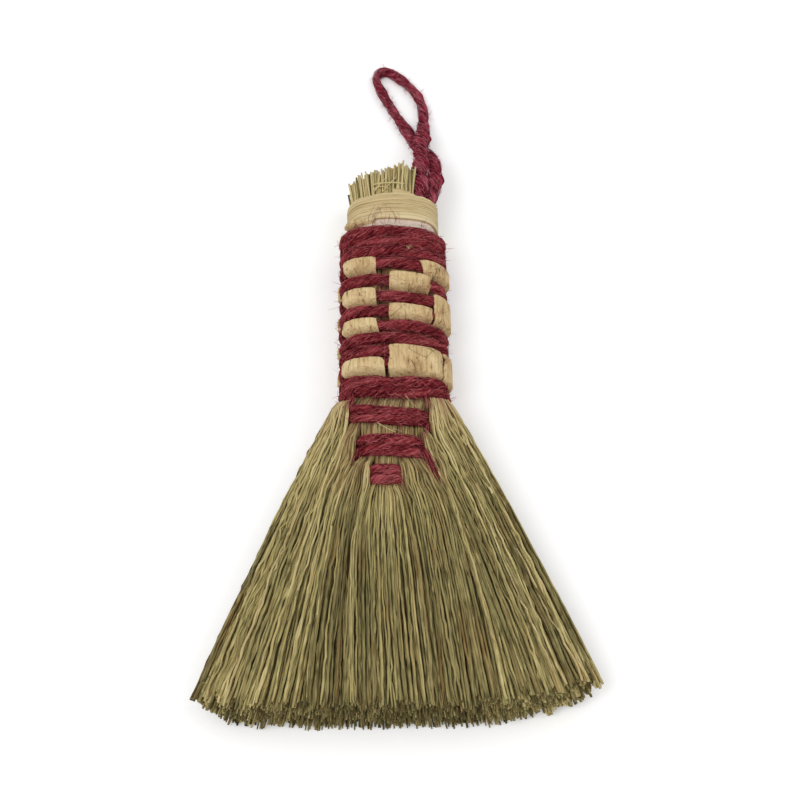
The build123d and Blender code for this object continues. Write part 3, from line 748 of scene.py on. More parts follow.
def fan_stems(piece, name, side, suffix):
    """The hank's stems, from under the shoulder wrap, through its bands, to the sweeping tips."""
    low, high = SHARES[name]
    count = round((high - low) / 2 * STEM_COLUMNS)
    column, row = np.meshgrid(np.arange(count), np.arange(STEM_ROWS), indexing="ij")
    column, row = column.ravel(), row.ravel()
    jitter = chance.uniform(-0.46, 0.46, (2, len(column)))
    own = (column + 0.5 + jitter[0]) / count
    through = (row + 0.5 + jitter[1]) / STEM_ROWS * 2 - 1
    across = side * mix(low, high, own)
    lock, lock_place, lock_middle = in_locks(across, through)
    one = (len(column), 1)
    out = np.abs(through)[:, None]
    upward = np.sign(through)[:, None]
    near_skin = out > NEAR_SKIN

    levels = np.array(FLOW_Y) / 1000
    free_level = levels[TIES[name].index(None)]
    first, last = np.array(FLOW[name + suffix]) / 1000
    x_at = mix(first, last, own[:, None])
    x_at[:, 3:-1] += chance.normal(0, 0.00028, (len(column), len(levels) - 4))
    z_at = stem_heights(name, levels, x_at, through)
    share = np.linspace(0, 1, STEM_STEPS)
    y = levels[0] + (stem_tips(lock, across, through) - levels[0])[:, None] * share
    x = curve_through(levels, x_at, y)
    z = curve_through(levels, z_at, y)
    outline = np.abs(np.interp(-y, -levels, last)) + 0.0004

    free = np.clip((free_level - y) / (free_level - TIP_Y), 0, 1)
    hold = mix(0.45, -0.5, lock["hold"])[:, None]
    swell = smooth(free * 2.4) * (1 - hold * smooth((free - 0.7) / 0.3))
    off_middle = x - lock_middle[:, None] * fan_half_width(y)
    pull = np.minimum(lock["pull"][:, None] * swell, MOST_PULL)
    x = x - off_middle * pull
    x = x + lock["drift"][:, None] * fan_half_width(y) * np.sin(pi * free)
    rounding = lock["rise"][:, None] - LOCK_ROUNDING * lock_place[:, None] ** 2
    z = z + upward * smooth((out - 0.2) / 0.5) * rounding * swell
    z = z - TIP_DROOP * ((through + 1) / 2)[:, None] ** 2 * smooth((free - 0.72) / 0.28)

    x, z = stem_sway(name, x, y, z, free, share, near_skin)
    if name == "outer":
        beyond = np.maximum(np.abs(x) - outline, 0)
        x = np.sign(x) * (np.abs(x) - beyond + 0.0009 * np.tanh(beyond / 0.0016))
    for shape in bands.values():
        near = np.exp(-(((y - shape.y) / 0.0052) ** 4))
        y = y + near * shape.level(x) * (np.abs(x - shape.x) < shape.half_width + 0.006)

    full = chance.uniform(0.80, 1.28, one)
    bold = np.where(near_skin, chance.uniform(0.8, 2.0, one), 1.0)
    radii = full * mix(STEM_RADII[0] * bold, STEM_RADII[1], smooth(free * 1.1))
    z = z + upward * (bold - 1.0) * 0.00022 * (1 - smooth(free * 2))
    radii = radii * mix(1.0, 0.55, smooth((free - 0.95) / 0.05))
    z = np.maximum(z, radii * 1.02)
    centres = np.stack([x, y, z], -1)
    shade = stem_shades(name, suffix, lock, across, through, free, y)[..., None]
    dye = np.interp(y, DYE_Y, DYE["outer" if name == "outer" else "bound"])
    dye = np.clip(dye * chance.uniform(0.3, 1.3, one), 0, 1)[..., None]

    hidden = np.abs(through) < HIDDEN_DEPTH
    for mine, skip, sides in ((~hidden, 1, STEM_SIDES), (hidden, HIDDEN_SKIP, 4)):
        tubes(piece, centres[mine, ::skip], radii[mine, ::skip], sides, shade[mine, ::skip],
              dye=dye[mine, ::skip])


# How far across the bundle each hank's places reach, from its nearer to its farther side
HANK_REACH = {"center": (0.0, 0.0036), "inner": (0.0036, 0.0082), "middle": (0.0082, 0.0120),
              "outer": (0.0120, 1.0)}


def of_hank(x, name, side):
    """Which of the places at x are the hank's."""
    near, far = HANK_REACH[name]
    mine = (np.abs(x) >= near) & (np.abs(x) < far)
    return mine & (np.sign(x) == side) if side else mine


# The outermost stems of the bound length: how many in a layer, points along each, and where they
# end; then half the width and height of the stems at the head
SKIN_STEMS = 190
SKIN_STEPS = 40
BOUND_TOP_Y = 0.0906
BOUND_LOW_Y = 0.0120
HEAD_HALF_WIDTH = 0.0167
HEAD_HALF_HEIGHT = 0.0103
head_oval = Oval(HEAD_HALF_WIDTH, HEAD_HALF_HEIGHT, 0.0, AXIS_Z)


def skin_places():
    """Places round the bundle of the stems that show between the twine and the plait."""
    layer = np.arange(SKIN_STEMS * 2) // SKIN_STEMS
    s = (np.arange(SKIN_STEMS * 2) % SKIN_STEMS + chance.uniform(0.1, 0.9, SKIN_STEMS * 2))
    return s / SKIN_STEMS * twine_oval.round - twine_oval.round / 2, layer


skin_s, skin_layer = skin_places()


def bound_stems(piece, name, side):
    """The outermost stems of the bound length, under the plait and the twine."""
    start, _ = twine_oval.place(skin_s, 0.0, -TWINE_DEPTH)
    mine = of_hank(start[:, 0], name, side)
    s = skin_s[mine][:, None] + chance.normal(0, 0.00010, (mine.sum(), 1))
    y = np.linspace(BOUND_TOP_Y, BOUND_LOW_Y, SKIN_STEPS)[None] + 0 * s
    s = s + 0.00022 * np.sin(tau * y / 0.021 + chance.uniform(0, tau, s.shape))
    rise = -TWINE_DEPTH - 0.00012 - 0.00038 * skin_layer[mine][:, None]
    rise = rise + chance.uniform(-0.00010, 0.00016, s.shape) - 0.0016 * smooth((0.0175 - y) / 0.004)
    centres, _ = twine_oval.place(s, y, rise)
    radii = np.broadcast_to(chance.uniform(0.00024, 0.00034, s.shape), y.shape)
    shade = chance.uniform(0.10, 1.05, len(s))
    dye = chance.uniform(0.3, 0.9, len(s))
    tubes(piece, centres, radii, STEM_SIDES, shade, outward=(0.3, 0, 1), dye=dye)


# Cut stem ends: how far apart, points along each, where they start and end, where the cut is
# highest, how much lower it ends, the room round each leg of the loop, and the short ends there
CUT_PITCH = 0.00074
CUT_STEPS = 6
CUT_ROOT_Y = 0.0990
CUT_TOP_Y = 0.1216
CUT_PEAK_X = 0.0040
CUT_SLANT = 0.0052
LEG_ROOM = 0.0031
BESIDE_LEGS_X, BESIDE_LEGS_Y = 0.0125, 0.1085


def cut_places():
    """Places of the cut stem ends in the head's oval, clear of the loop's two legs."""
    reach = head_oval.half_width
    grid = np.arange(-reach, reach, CUT_PITCH)
    x, z = np.meshgrid(grid, grid)
    x = x + (np.arange(len(grid)) % 2)[:, None] * CUT_PITCH / 2
    x, z = x.ravel(), z.ravel()
    x = x + chance.uniform(-0.00022, 0.00022, len(x))
    z = z + chance.uniform(-0.00022, 0.00022, len(z))
    inside = np.abs(z) < head_oval.height(x, 0.0004) - 0.0002
    for leg in (LOOP_ROUTE[1], LOOP_ROUTE[-2]):
        inside &= np.hypot(x - leg[0], z + AXIS_Z - leg[2]) > LEG_ROOM
    return x[inside], z[inside]


cut_x, cut_z = cut_places()


def cut_ends(piece, name, side):
    """The cut ends of the stems above the wraps, leaning a little each way."""
    mine = of_hank(cut_x, name, side)
    x, z = cut_x[mine], cut_z[mine]
    count = len(x)
    slant = CUT_SLANT * np.abs(x - CUT_PEAK_X) / (CUT_PEAK_X + head_oval.half_width)
    top = CUT_TOP_Y - slant - np.abs(chance.normal(0, 0.0009, count))
    top = np.where(x > BESIDE_LEGS_X, np.minimum(top, BESIDE_LEGS_Y), top)
    share = np.linspace(0, 1, CUT_STEPS)
    y = CUT_ROOT_Y + (top - CUT_ROOT_Y)[:, None] * share
    lean = chance.normal(0, 0.0009, (2, count, 1))
    spread = 1 + 0.10 * share
    wild = chance.uniform(0, 1, (count, 1)) < 0.15
    lean = lean * np.where(wild & (np.abs(x[:, None]) < 0.012), 2.4, 1.0)
    x, z = (at[:, None] * spread + off * share**1.6 for at, off in zip((x, z), lean))
    centres = np.stack([x, y, AXIS_Z + z], -1)
    radii = np.broadcast_to(chance.uniform(0.00030, 0.00044, (count, 1)), y.shape)
    shade = np.clip(chance.normal(1.17, 0.16, count), 0.15, 1.45)
    dark = chance.uniform(0, 1, count) < 0.10
    shade = np.where(dark, chance.uniform(0.15, 0.40, count), shade)
    tubes(piece, centres, radii, 6, shade)


# Broken stems that lie across the cut ends, and loose fibres over the grip and the bands: two
# ends, how far each bows to the right on its way, and its radius, in millimetres
BROKEN_STEMS = [
    ((-8.2, 110.4, 23.9), (5.2, 110.7, 24.0), -0.6, 0.30),
    ((-8.0, 107.9, 23.5), (-1.0, 108.3, 23.7), -1.4, 0.22),
    ((-4.0, 106.6, 23.6), (1.8, 114.2, 24.2), 0.0, 0.28),
    ((-7.2, 107.4, 23.3), (-3.0, 113.3, 24.0), 0.0, 0.26),
]
LOOSE_FIBRES = [
    ((4.0, 7.4, 24.9), (8.4, 2.2, 23.7), 0.3, 0.11),
    ((-6.6, -4.3, 23.8), (0.4, -8.3, 23.2), 0.4, 0.16),
    ((-4.0, -4.3, 22.2), (3.0, -7.9, 22.8), 0.3, 0.08),
    ((-2.0, 7.8, 21.7), (-4.6, 5.3, 21.7), 0.3, 0.10),
    ((5.4, 78.2, 24.9), (7.2, 76.4, 25.0), 0.4, 0.08),
    ((6.0, 76.1, 25.1), (7.8, 78.4, 24.7), -0.4, 0.08),
    ((5.8, 77.3, 25.1), (8.2, 78.0, 24.4), 0.3, 0.07),
    ((-1.2, 79.6, 24.4), (0.4, 80.0, 25.1), 0.3, 0.08),
    ((17.6, 69.2, 23.8), (15.2, 62.6, 23.6), 0.8, 0.12),
]


def across_stems(piece, pieces, shade):
    """Thin stems or fibres, each from one end to the other with a bow."""
    share = np.linspace(0, 1, 9)[:, None]
    for start, end, bow, radius in pieces:
        start, end = np.array(start) / 1000, np.array(end) / 1000
        side = unit(np.cross(end - start, (0, 0, 1.0)))
        line = mix(start, end, share) + (side * bow / 1000 + (0, 0, 0.0003)) * np.sin(pi * share)
        radii = np.full((1, len(share)), radius / 1000)
        tubes(piece, line[None], radii, 5, np.array([shade * chance.uniform(0.85, 1.1)]))


def make_hank(name, side, suffix):
    piece = Piece()
    fan_stems(piece, name, side or 1, suffix)
    bound_stems(piece, name, side)
    cut_ends(piece, name, side)
    if not side:
        across_stems(piece, BROKEN_STEMS, 1.25)
        across_stems(piece, LOOSE_FIBRES, 1.1)
    piece.make("stems_" + name + suffix, stem_look, "stems", "hank_" + name + suffix)


make_hank("center", 0, "")
for hank_name in ("inner", "middle", "outer"):
    for side_name, side_sign in SIDES.items():
        make_hank(hank_name, side_sign, "_" + side_name)


# Jute yarn

# Steps along a yarn and sides of a ply, how uneven its thickness is, and the ridges of fibre on
# it: how many round it and how high
YARN_STEP = 0.0008
YARN_SIDES = 18
PLY_UNEVEN = (0.07, 0.05, 0.03)
PLY_RIDGES = ((4, 0.040), (7, 0.040), (11, 0.040), (15, 0.035))
NAP_STEPS = 5
HAIR_STEPS = 5


def lengths_to(points):
    """How far along a line each of its points is."""
    return np.concatenate([[0], np.cumsum(np.linalg.norm(np.diff(points, axis=0), axis=1))])


def walk(points, step):
    """The same line in even steps, how far along each new point is, and how far each old one."""
    lengths = lengths_to(points)
    along = np.linspace(0, lengths[-1], max(int(lengths[-1] / step), 6))
    return np.stack([np.interp(along, lengths, points[:, n]) for n in range(3)], -1), along, lengths


class Yarn:
    """Two twisted plies along a path, pressed to a width and a thickness, with a nap of fibres."""

    def __init__(self, path, outward, width, thickness, lay, ply=(0.72, 0.80), uneven=1.0):
        self.line, self.along, lengths = walk(path, YARN_STEP)
        outward = np.broadcast_to(np.asarray(outward, float), path.shape)
        facing = np.stack([np.interp(self.along, lengths, outward[:, n]) for n in range(3)], -1)
        _, across, up = frames(self.line[None], unit(facing)[None])
        self.across, self.up = across[0], up[0]
        self.width, self.thickness = (np.interp(self.along, lengths, size + 0 * path[:, 0])
                                      for size in (width, thickness))
        self.lay, self.ply, self.uneven = lay, ply, uneven

    def add_plies(self, piece, tint=0.45):
        along = self.along
        turn = np.arange(YARN_SIDES) * tau / YARN_SIDES
        for ply in range(2):
            wobble = 1 + self.uneven * waves(along, (0.017, 0.0071, 0.0043), PLY_UNEVEN)
            spin = tau * (along / self.lay + ply / 2)
            centre = (self.line
                      + self.across * (np.cos(spin) * self.width * (1 - self.ply[0]) / 2)[:, None]
                      + self.up * (np.sin(spin) * self.thickness * (1 - self.ply[1]) / 2)[:, None])
            fibre_turn = turn[None] - (tau * along / (self.lay * 0.62))[:, None]
            drift = waves(along, (0.011, 0.019), (0.5, 0.6))[:, None]
            ridge = 1.0
            for count, height in PLY_RIDGES:
                stride = chance.uniform(0.003, 0.009) * chance.choice([-1, 1])
                crossing = tau * along[:, None] / stride + chance.uniform(0, tau)
                ridge = ridge + height * np.cos(count * fibre_turn + drift + crossing)
            shape = ridge * wobble[:, None]
            local_x = np.cos(turn) * self.width[:, None] * self.ply[0] / 2 * shape
            local_z = np.sin(turn) * self.thickness[:, None] * self.ply[1] / 2 * shape
            rings = (centre[:, None] + self.across[:, None] * local_x[..., None]
                     + self.up[:, None] * local_z[..., None])
            grain = np.stack([np.cos(fibre_turn) + 7 * ply, np.sin(fibre_turn),
                              along[:, None] + 0 * fibre_turn], -1)
            # Paler on the fibre ridges and darker between them: painted shade in the grooves, plus
            # a small difference between the plies
            shade = tint + 0.12 * (ply - 0.5) + 1.8 * (ridge - 1)
            piece.add(rings[None], shade[None], grain[None])

    def at(self, along, turn, swell):
        """Points on the yarn's skin, a part of the way out, at a turn about its line."""
        index = np.clip(along / (self.along[1] - self.along[0]), 0, len(self.along) - 1.001)
        low = index.astype(int)
        part = (index - low)[..., None]

        def read(values):
            return values[low] * (1 - part) + values[low + 1] * part

        width, thickness = read(self.width[:, None]), read(self.thickness[:, None])
        return (read(self.line)
                + read(self.across) * np.cos(turn)[..., None] * width / 2 * swell
                + read(self.up) * np.sin(turn)[..., None] * thickness / 2 * swell)

    def add_nap(self, piece, count, longest=0.0062, arc=(-0.7, pi + 0.7)):
        """Short fibres that lie on the yarn's skin, most of them about along its twist."""
        share = np.linspace(0, 1, NAP_STEPS)[None]
        length = chance.uniform(0.25, 1.0, (count, 1)) * longest
        start = chance.uniform(0, self.along[-1], (count, 1)) - length / 2
        along = np.clip(start + length * share, 0, self.along[-1])
        sway = chance.normal(0, 0.5, (count, 1))
        sway = sway + 0.4 * np.sin(tau * share * 0.7 + chance.uniform(0, tau, (count, 1)))
        turn = chance.uniform(*arc, (count, 1)) + tau * length * share / self.lay + sway * share
        swell = chance.uniform(0.88, 1.04, (count, 1)) + 0.07 * np.sin(pi * share)
        centres = self.at(along, turn, swell[..., None])
        taper = np.sin(pi * (0.12 + 0.76 * share))
        fibres(piece, centres, FIBRE_THICK, taper, (0.47, 0.42), (0.0, 1.2))

    def add_hairs(self, piece, count, longest, furthest=None, thick=(0.00006, 0.00011)):
        """Loose fibres that stand off the yarn, kept within a distance of its middle."""
        start = chance.uniform(0, self.along[-1], count)
        turn = chance.uniform(0, tau, count)
        root = self.at(start, turn, 0.90)
        line = self.at(start, turn, 0.0)
        out = unit(root - line)
        ahead = unit(self.at(start + 0.001, turn, 0.0) - self.at(start - 0.001, turn, 0.0))
        way = ahead * chance.choice([-1, 1], (count, 1))
        way = way + out * chance.uniform(0.05, 0.9, (count, 1))
        way = unit(way + chance.normal(0, 0.25, (count, 3)))
        length = chance.uniform(0.25, 1.0, count) ** 1.5 * longest
        share = np.linspace(0, 1, HAIR_STEPS)
        sag = chance.normal(0, 0.45, (count, 3)) * length[:, None]
        centres = root[:, None] + way[:, None] * (share[:, None] * length[:, None, None])
        centres = centres + sag[:, None] * (share**2)[:, None]
        if furthest:
            away = centres - line[:, None]
            far = np.linalg.norm(away, axis=-1, keepdims=True)
            centres = line[:, None] + away * np.minimum(1, furthest / np.maximum(far, 1e-9))
        fibres(piece, centres, thick, 1 - 0.55 * share, (0.66, 0.20), (0.05, 1.0))


# The twine's width and thickness where it is pressed on, the length of one twist, points on each
# turn, how far its two shoulder turns rise at the sides, and its short fibres and hairs
TWINE_WIDTH = 0.0050
TWINE_THICKNESS = 0.0037
TWINE_LAY = 0.0400
TWINE_SAMPLES = 90
SHOULDER_LIFT = (0.0016, 0.0030)
TWINE_NAP = 7400
TWINE_HAIRS = 7200
# Where one more row of twine would lie above the first and below the last one
ROW_ABOVE = 2 * TWINE_ROWS[0] - TWINE_ROWS[1]
ROW_BELOW = 2 * TWINE_ROWS[-1] - TWINE_ROWS[-2]


def binding_path():
    """The long winding: down the grip from the back, one turn for each row of twine."""
    rows = [ROW_ABOVE, *TWINE_ROWS, ROW_BELOW]
    turn = np.linspace(0, len(TWINE_ROWS), len(TWINE_ROWS) * TWINE_SAMPLES)
    y = np.interp(turn + 0.5, np.arange(len(rows)), rows)
    s = (turn - 0.5) * twine_oval.round
    sideways = np.sin(tau * s / twine_oval.round) ** 2
    first = len(TWINE_ROWS) - len(SHOULDER_ROWS)
    lift = np.interp(turn, [first - 0.1, first + 0.5, first + 1.5], [0, *SHOULDER_LIFT])
    y = y + lift * sideways + waves(s, (0.031, 0.0137), (0.00022, 0.00012))
    return twine_oval.place(s, y, waves(s, (0.027, 0.0119), (0.00012, 0.00008)))


# Hairs of the twine that reach up over the tape and the strip: points in millimetres, how many
# hairs, and how many millimetres apart
HEAD_HAIRS = [
    ([(-8.6, 88.5, 25.6), (-8.0, 93.0, 25.0), (-5.6, 97.2, 24.9)], 5, 1.0),
    ([(-2.2, 89.0, 26.2), (-2.0, 93.5, 25.5), (-3.4, 98.5, 25.2)], 5, 1.2),
    ([(1.0, 89.0, 26.2), (1.6, 93.0, 25.5), (-0.6, 96.6, 25.2)], 4, 0.9),
    ([(-15.0, 88.0, 22.2), (-14.6, 90.5, 22.2), (-12.0, 92.5, 23.2)], 7, 0.9),
    ([(12.0, 88.0, 24.4), (12.6, 90.5, 23.6), (13.6, 92.5, 22.6)], 5, 0.8),
]


def make_binding():
    piece, hairs, fuzz = Piece(), Piece(), Piece()
    path, outward = binding_path()
    made = Yarn(path, outward, TWINE_WIDTH, TWINE_THICKNESS, TWINE_LAY)
    made.add_plies(piece)
    made.add_nap(fuzz, TWINE_NAP)
    made.add_hairs(hairs, TWINE_HAIRS, 0.0030, thick=(0.00007, 0.00013))
    for points, count, spread in HEAD_HAIRS:
        frayed(fuzz, points, count, spread)
    piece.make("twine_binding", twine_look, "twine", "binding_twine")
    fuzz.make("twine_binding_fibres", twine_look, "twine")
    hairs.make("twine_binding_hairs", twine_look, "twine")


def band_path(name):
    """Two level rows over the front and one crossing behind."""
    turn = np.linspace(0.25, 1.75, 2 * TWINE_SAMPLES)
    half = BANDS[name]["pitch"] / 2
    levels = [half, half, 0.0, -half, -half]
    y = BANDS[name]["y"] + np.interp(turn, [0.25, 0.78, 1.0, 1.22, 1.75], levels)
    return bands[name].place(turn, y)


# Fibres that run from one band to the next, or frayed out at the end of the twine: points on the
# fan's front in millimetres, how many fibres, and how many millimetres they spread there
TWINE_ENDS = {
    "upper": [
        ([(-15.8, 8.2, 22.6), (-16.3, 5.0, 22.6), (-16.6, 2.0, 22.2)], 30, 0.7),
        ([(11.8, 8.0, 23.8), (12.8, 4.5, 23.6), (13.2, 1.5, 22.6)], 12, 0.7),
    ],
    "middle": [
        ([(12.8, -3.5, 22.0), (12.5, -7.0, 22.4), (11.4, -11.2, 22.2)], 12, 0.6),
        ([(10.0, -15.0, 22.6), (12.0, -19.0, 23.2), (13.8, -23.5, 22.6), (15.2, -28.0, 22.0),
          (16.0, -30.5, 21.6)], 60, 0.7),
        ([(-13.6, -15.0, 22.6), (-15.0, -19.0, 22.8), (-16.4, -22.5, 22.2)], 14, 0.8),
    ],
    "lower": [([(1.0, -26.0, 22.2), (2.6, -30.0, 22.6), (3.2, -32.5, 22.2)], 8, 0.6)],
}
# The bands' thickness, the shade of each, the length of yarn for each short fibre and for each
# hair, and the steps along a frayed line
BAND_THICKNESS = 0.0036
BAND_SHADE = {"upper": 0.46, "middle": 0.48, "lower": 0.60}
BAND_NAP_EVERY = 0.00017
BAND_HAIR_EVERY = 0.00036
FRAYED_STEP = 0.0012


def frayed(piece, points, count, spread):
    """Loose fibres along a line, spreading out towards its end."""
    line, _, _ = walk(np.array(points) / 1000, FRAYED_STEP)
    share = np.linspace(0, 1, len(line))[None, :, None]
    each = (count, 1, 3)
    start = chance.normal(0, 1, each) * np.array([1, 0.6, 0.3]) * spread / 1000
    apart = chance.normal(0, 1, each) * np.array([1.2, 0.6, 0.5]) * spread / 1000
    centres = line[None] + start + apart * share
    wave = chance.uniform(0, tau, each)
    centres = centres + 0.00025 * np.sin(tau * share * chance.uniform(0.6, 2.2, each) + wave)
    fibres(piece, centres, FIBRE_THICK, 1 - 0.5 * share[..., 0], (0.45, 0.25), (0.02, 1.0))


def make_band(name):
    piece = Piece()
    path, outward = band_path(name)
    made = Yarn(path, outward, BANDS[name]["width"], BAND_THICKNESS, TWINE_LAY)
    made.add_plies(piece, BAND_SHADE[name])
    made.add_nap(piece, int(made.along[-1] / BAND_NAP_EVERY))
    made.add_hairs(piece, int(made.along[-1] / BAND_HAIR_EVERY), 0.0034)
    for points, count, spread in TWINE_ENDS[name]:
        frayed(piece, points, count, spread)
    piece.make("twine_band_" + name + "_jute", twine_look, "twine", "twine_band_" + name)


make_binding()
for band_name in BANDS:
    make_band(band_name)


# Plait of split stalks

# The stalks' two ends, their thickness, how high they lie under and over the twine, and half the
# length over which they turn from one to the other
STALK_TOP_Y = 0.0896
STALK_LOW_Y = 0.0098
STALK_THICKNESS = 0.0007
STALK_UNDER = 0.0006
STALK_OVER = 0.0057
STALK_TURN = 0.0016
# Distances of a stalk's points across and along it, how many cracks it has, and half the width
# of one
STALK_COLUMN = 0.00022
STALK_STEP = 0.0005
CRACKS = 85
CRACK_REACH = 0.00014
# How much higher some stalks reach than the others, and how much paler one is painted: painted
# light against the top wrap's shade
STALK_TOPS = {"front_left": 0.0027, "left_side": 0.0034}
STALK_PAINTED_LIGHT = {"front_left": 0.06}
# Each stalk: its two edges round the bundle, a number or (Y, edge) pairs from the top down, and
# whether it passes over (U, the twine is under it) or under (O) each woven row in turn
PLAIT = {
    "front_left": (
        [(0.072, -0.0198), (0.026, -0.0200), (0.010, -0.0206)],
        [(0.064, -0.0068), (0.050, -0.0066), (0.036, -0.0058), (0.027, -0.0058), (0.0225, -0.0036),
         (0.010, -0.0032)],
        "UOUOUOOU",
    ),
    "front_middle": (
        [(0.062, -0.0014), (0.045, -0.0018), (0.010, -0.0019)],
        [(0.062, 0.0143), (0.050, 0.0142), (0.043, 0.0148), (0.034, 0.0162), (0.030, 0.0172),
         (0.026, 0.0184), (0.010, 0.0186)],
        "OUOUOOUU",
    ),
    "right_side": (
        [(0.072, 0.0104), (0.067, 0.0112), (0.062, 0.0136), (0.057, 0.0160), (0.050, 0.0152),
         (0.036, 0.0162), (0.030, 0.0180), (0.026, 0.0191), (0.010, 0.0192)],
        0.0275,
        "UOUUOOUU",
    ),
    "back_right": (0.0310, 0.0396, "OUOUOUOU"),
    "back_inner_right": (0.0432, 0.0518, "UOUOUOUO"),
    "back_inner_left": (0.0554, 0.0640, "OUOUOUOU"),
    "left_side": (0.0662, 0.0746, "UOUOUOUO"),
}


def edge_at(edge, y):
    """A stalk's edge at each Y."""
    if isinstance(edge, float):
        return edge + 0 * y
    levels, places = np.array(edge).T
    return np.interp(-y, -levels, places)


def twine_level(row, s):
    """Y of a row of twine at a distance s round the bundle."""
    rows = [*TWINE_ROWS, ROW_BELOW]
    return np.interp(row + s / twine_oval.round, np.arange(len(rows)), rows)


def stalk_lift(y, s, pattern):
    """How far the stalk stands up at y, from 0 under the twine to 1 over it."""
    first = len(TOP_WRAP_ROWS)
    lift = np.zeros_like(y)
    marks = "O" + pattern + "O"
    for n in range(1, len(marks) - 1):
        if marks[n] != "U" or marks[n - 1] == "U":
            continue
        last = n
        while marks[last + 1] == "U":
            last += 1
        top = (twine_level(first + n - 2, s) + twine_level(first + n - 1, s)) / 2
        low = (twine_level(first + last - 1, s) + twine_level(first + last, s)) / 2
        rising = smooth((top + STALK_TURN - y) / (2 * STALK_TURN))
        falling = smooth((y - low + STALK_TURN) / (2 * STALK_TURN))
        lift = np.maximum(lift, rising * falling)
    return lift


def make_stalk(name, start, end, pattern):
    """A flat split stalk that passes over and under the twine, with grain and cracks."""
    y = np.arange(STALK_TOP_Y + STALK_TOPS.get(name, 0.0), STALK_LOW_Y, -STALK_STEP)[:, None]
    start, end = edge_at(start, y), edge_at(end, y)
    columns = int((end - start).max() / STALK_COLUMN)
    share = np.linspace(0, 1, columns)[None]
    left = start + waves(y, (0.019, 0.0083, 0.0027), (0.00022, 0.00014, 0.00008))
    right = end + waves(y, (0.017, 0.0079, 0.0031), (0.00022, 0.00014, 0.00008))
    s = left + (right - left) * share
    lift = stalk_lift(y + 0 * s, s, pattern)
    grain = waves(s, (0.00071, 0.00113, 0.0031), (0.00004, 0.00005, 0.00008))
    edge = np.abs(2 * share - 1)
    above = y - TWINE_ROWS[0] - TWINE
    lift = lift + 0.85 * smooth(above / 0.0014)
    lift = lift + 0.06 * waves(s, (0.0021, 0.0037), (1, 1)) * smooth(above / 0.003)
    rise = mix(STALK_UNDER, STALK_OVER, lift) + grain * (0.4 + 0.6 * lift)
    rise = rise - (0.0003 + 0.0006 * lift) * edge**5
    cracks = 0 * rise
    for _ in range(CRACKS):
        place = chance.uniform(start.min(), end.max())
        middle = chance.uniform(STALK_LOW_Y, STALK_TOP_Y)
        half = chance.uniform(0.0006, 0.0026)
        along = np.clip(1 - np.abs(y - middle) / half, 0, 1)
        depth = chance.uniform(0.4, 1.1)
        cracks = cracks + depth * np.exp(-(((s - place) / CRACK_REACH) ** 2)) * np.sqrt(along)
    rise = rise - 0.0003 * np.minimum(cracks, 1)
    outer, _ = twine_oval.place(s, y + 0 * s, rise + STALK_THICKNESS / 2 - TWINE_DEPTH)
    inner, _ = twine_oval.place(s, y + 0 * s, rise - STALK_THICKNESS / 2 - TWINE_DEPTH)
    rings = np.concatenate([outer, inner[:, ::-1]], 1)
    # One stalk painted paler: painted light that offsets the shade of the top wrap
    shade = 0.51 + STALK_PAINTED_LIGHT.get(name, 0.0) + 0.02 * edge + 0 * rise
    # Painted shade: the stalk is darker where it dips under the twine, and its cracks are darker
    # too
    shade = shade - 0.32 * np.minimum(cracks, 1) - 0.10 * (1 - lift)
    shade = np.concatenate([shade, shade[:, ::-1]], 1)
    pattern_place = np.stack([s, rise, y + 0 * s], -1) + chance.uniform(0, 1)
    pattern_place = np.concatenate([pattern_place, pattern_place[:, ::-1]], 1)
    piece = Piece()
    piece.add(rings[None], shade[None], pattern_place[None])
    piece.make("split_stalk_" + name, stalk_look, "split_stalk", "plait_stalk_" + name)


for stalk_name, stalk in PLAIT.items():
    make_stalk(stalk_name, *stalk)


# Loose fibres on the plait: how many, points along each, and where they begin round the front
STRAY_FIBRES = 75
STRAY_STEPS = 14
STRAY_SPAN = (-0.0185, 0.0195)


def make_strays():
    """Loose curling fibres of the twine that lie on the front of the plait."""
    count = STRAY_FIBRES
    share = np.linspace(0, 1, STRAY_STEPS)
    s = chance.uniform(*STRAY_SPAN, (count, 1))
    y = chance.uniform(WEAVE_ROWS[-1] - 0.003, WEAVE_ROWS[0] + 0.002, (count, 1))
    length = chance.uniform(0.004, 0.013, (count, 1))
    way = chance.uniform(0, tau, (count, 1)) + chance.normal(0, 0.8, (count, 1)) * share
    step = length / STRAY_STEPS
    s = s + np.cumsum(np.cos(way) * 0.7, 1) * step
    y = y + np.cumsum(np.sin(way), 1) * step
    surface = np.full(s.shape, TWINE_DEPTH + TWINE_THICKNESS / 2)
    for name in ("front_left", "front_middle", "right_side"):
        start, end, pattern = PLAIT[name]
        on_stalk = (s > edge_at(start, y)) & (s < edge_at(end, y))
        height = mix(STALK_UNDER, STALK_OVER, stalk_lift(y, s, pattern)) + STALK_THICKNESS / 2
        surface = np.where(on_stalk, np.maximum(surface, height), surface)
    rise = surface - TWINE_DEPTH + chance.uniform(0.00028, 0.00045, (count, 1))
    centres, _ = twine_oval.place(s, y, rise)
    piece = Piece()
    fibres(piece, centres, (0.00005, 0.00008), 1 - 0.5 * share, (0.40, 0.22), (0.0, 0.9))
    piece.make("twine_loose_fibres", twine_look, "twine")


make_strays()


# Wraps at the head

# Points round the head in each wrap
WRAP_SAMPLES = 420
# The strip's thickness, steps across each turn, where its turns start on the way up, and the
# torn tab: from and to round the head, and how high
STRIP_THICKNESS = 0.00095
STRIP_STEPS = 5
STRIP_TURNS = (0.0, 0.20, 0.37, 0.52, 0.70, 0.86)
STRIP_TAB = ((0.0004, 0.0050, 0.0023), (0.0050, 0.0072, 0.0017), (0.0072, 0.0086, 0.0009))
# The tape's thickness, how far it goes down under the twine, and the fibres of its frayed edge
TAPE_THICKNESS = 0.0005
TAPE_TUCK = 0.0018
TAPE_FRAY = 420


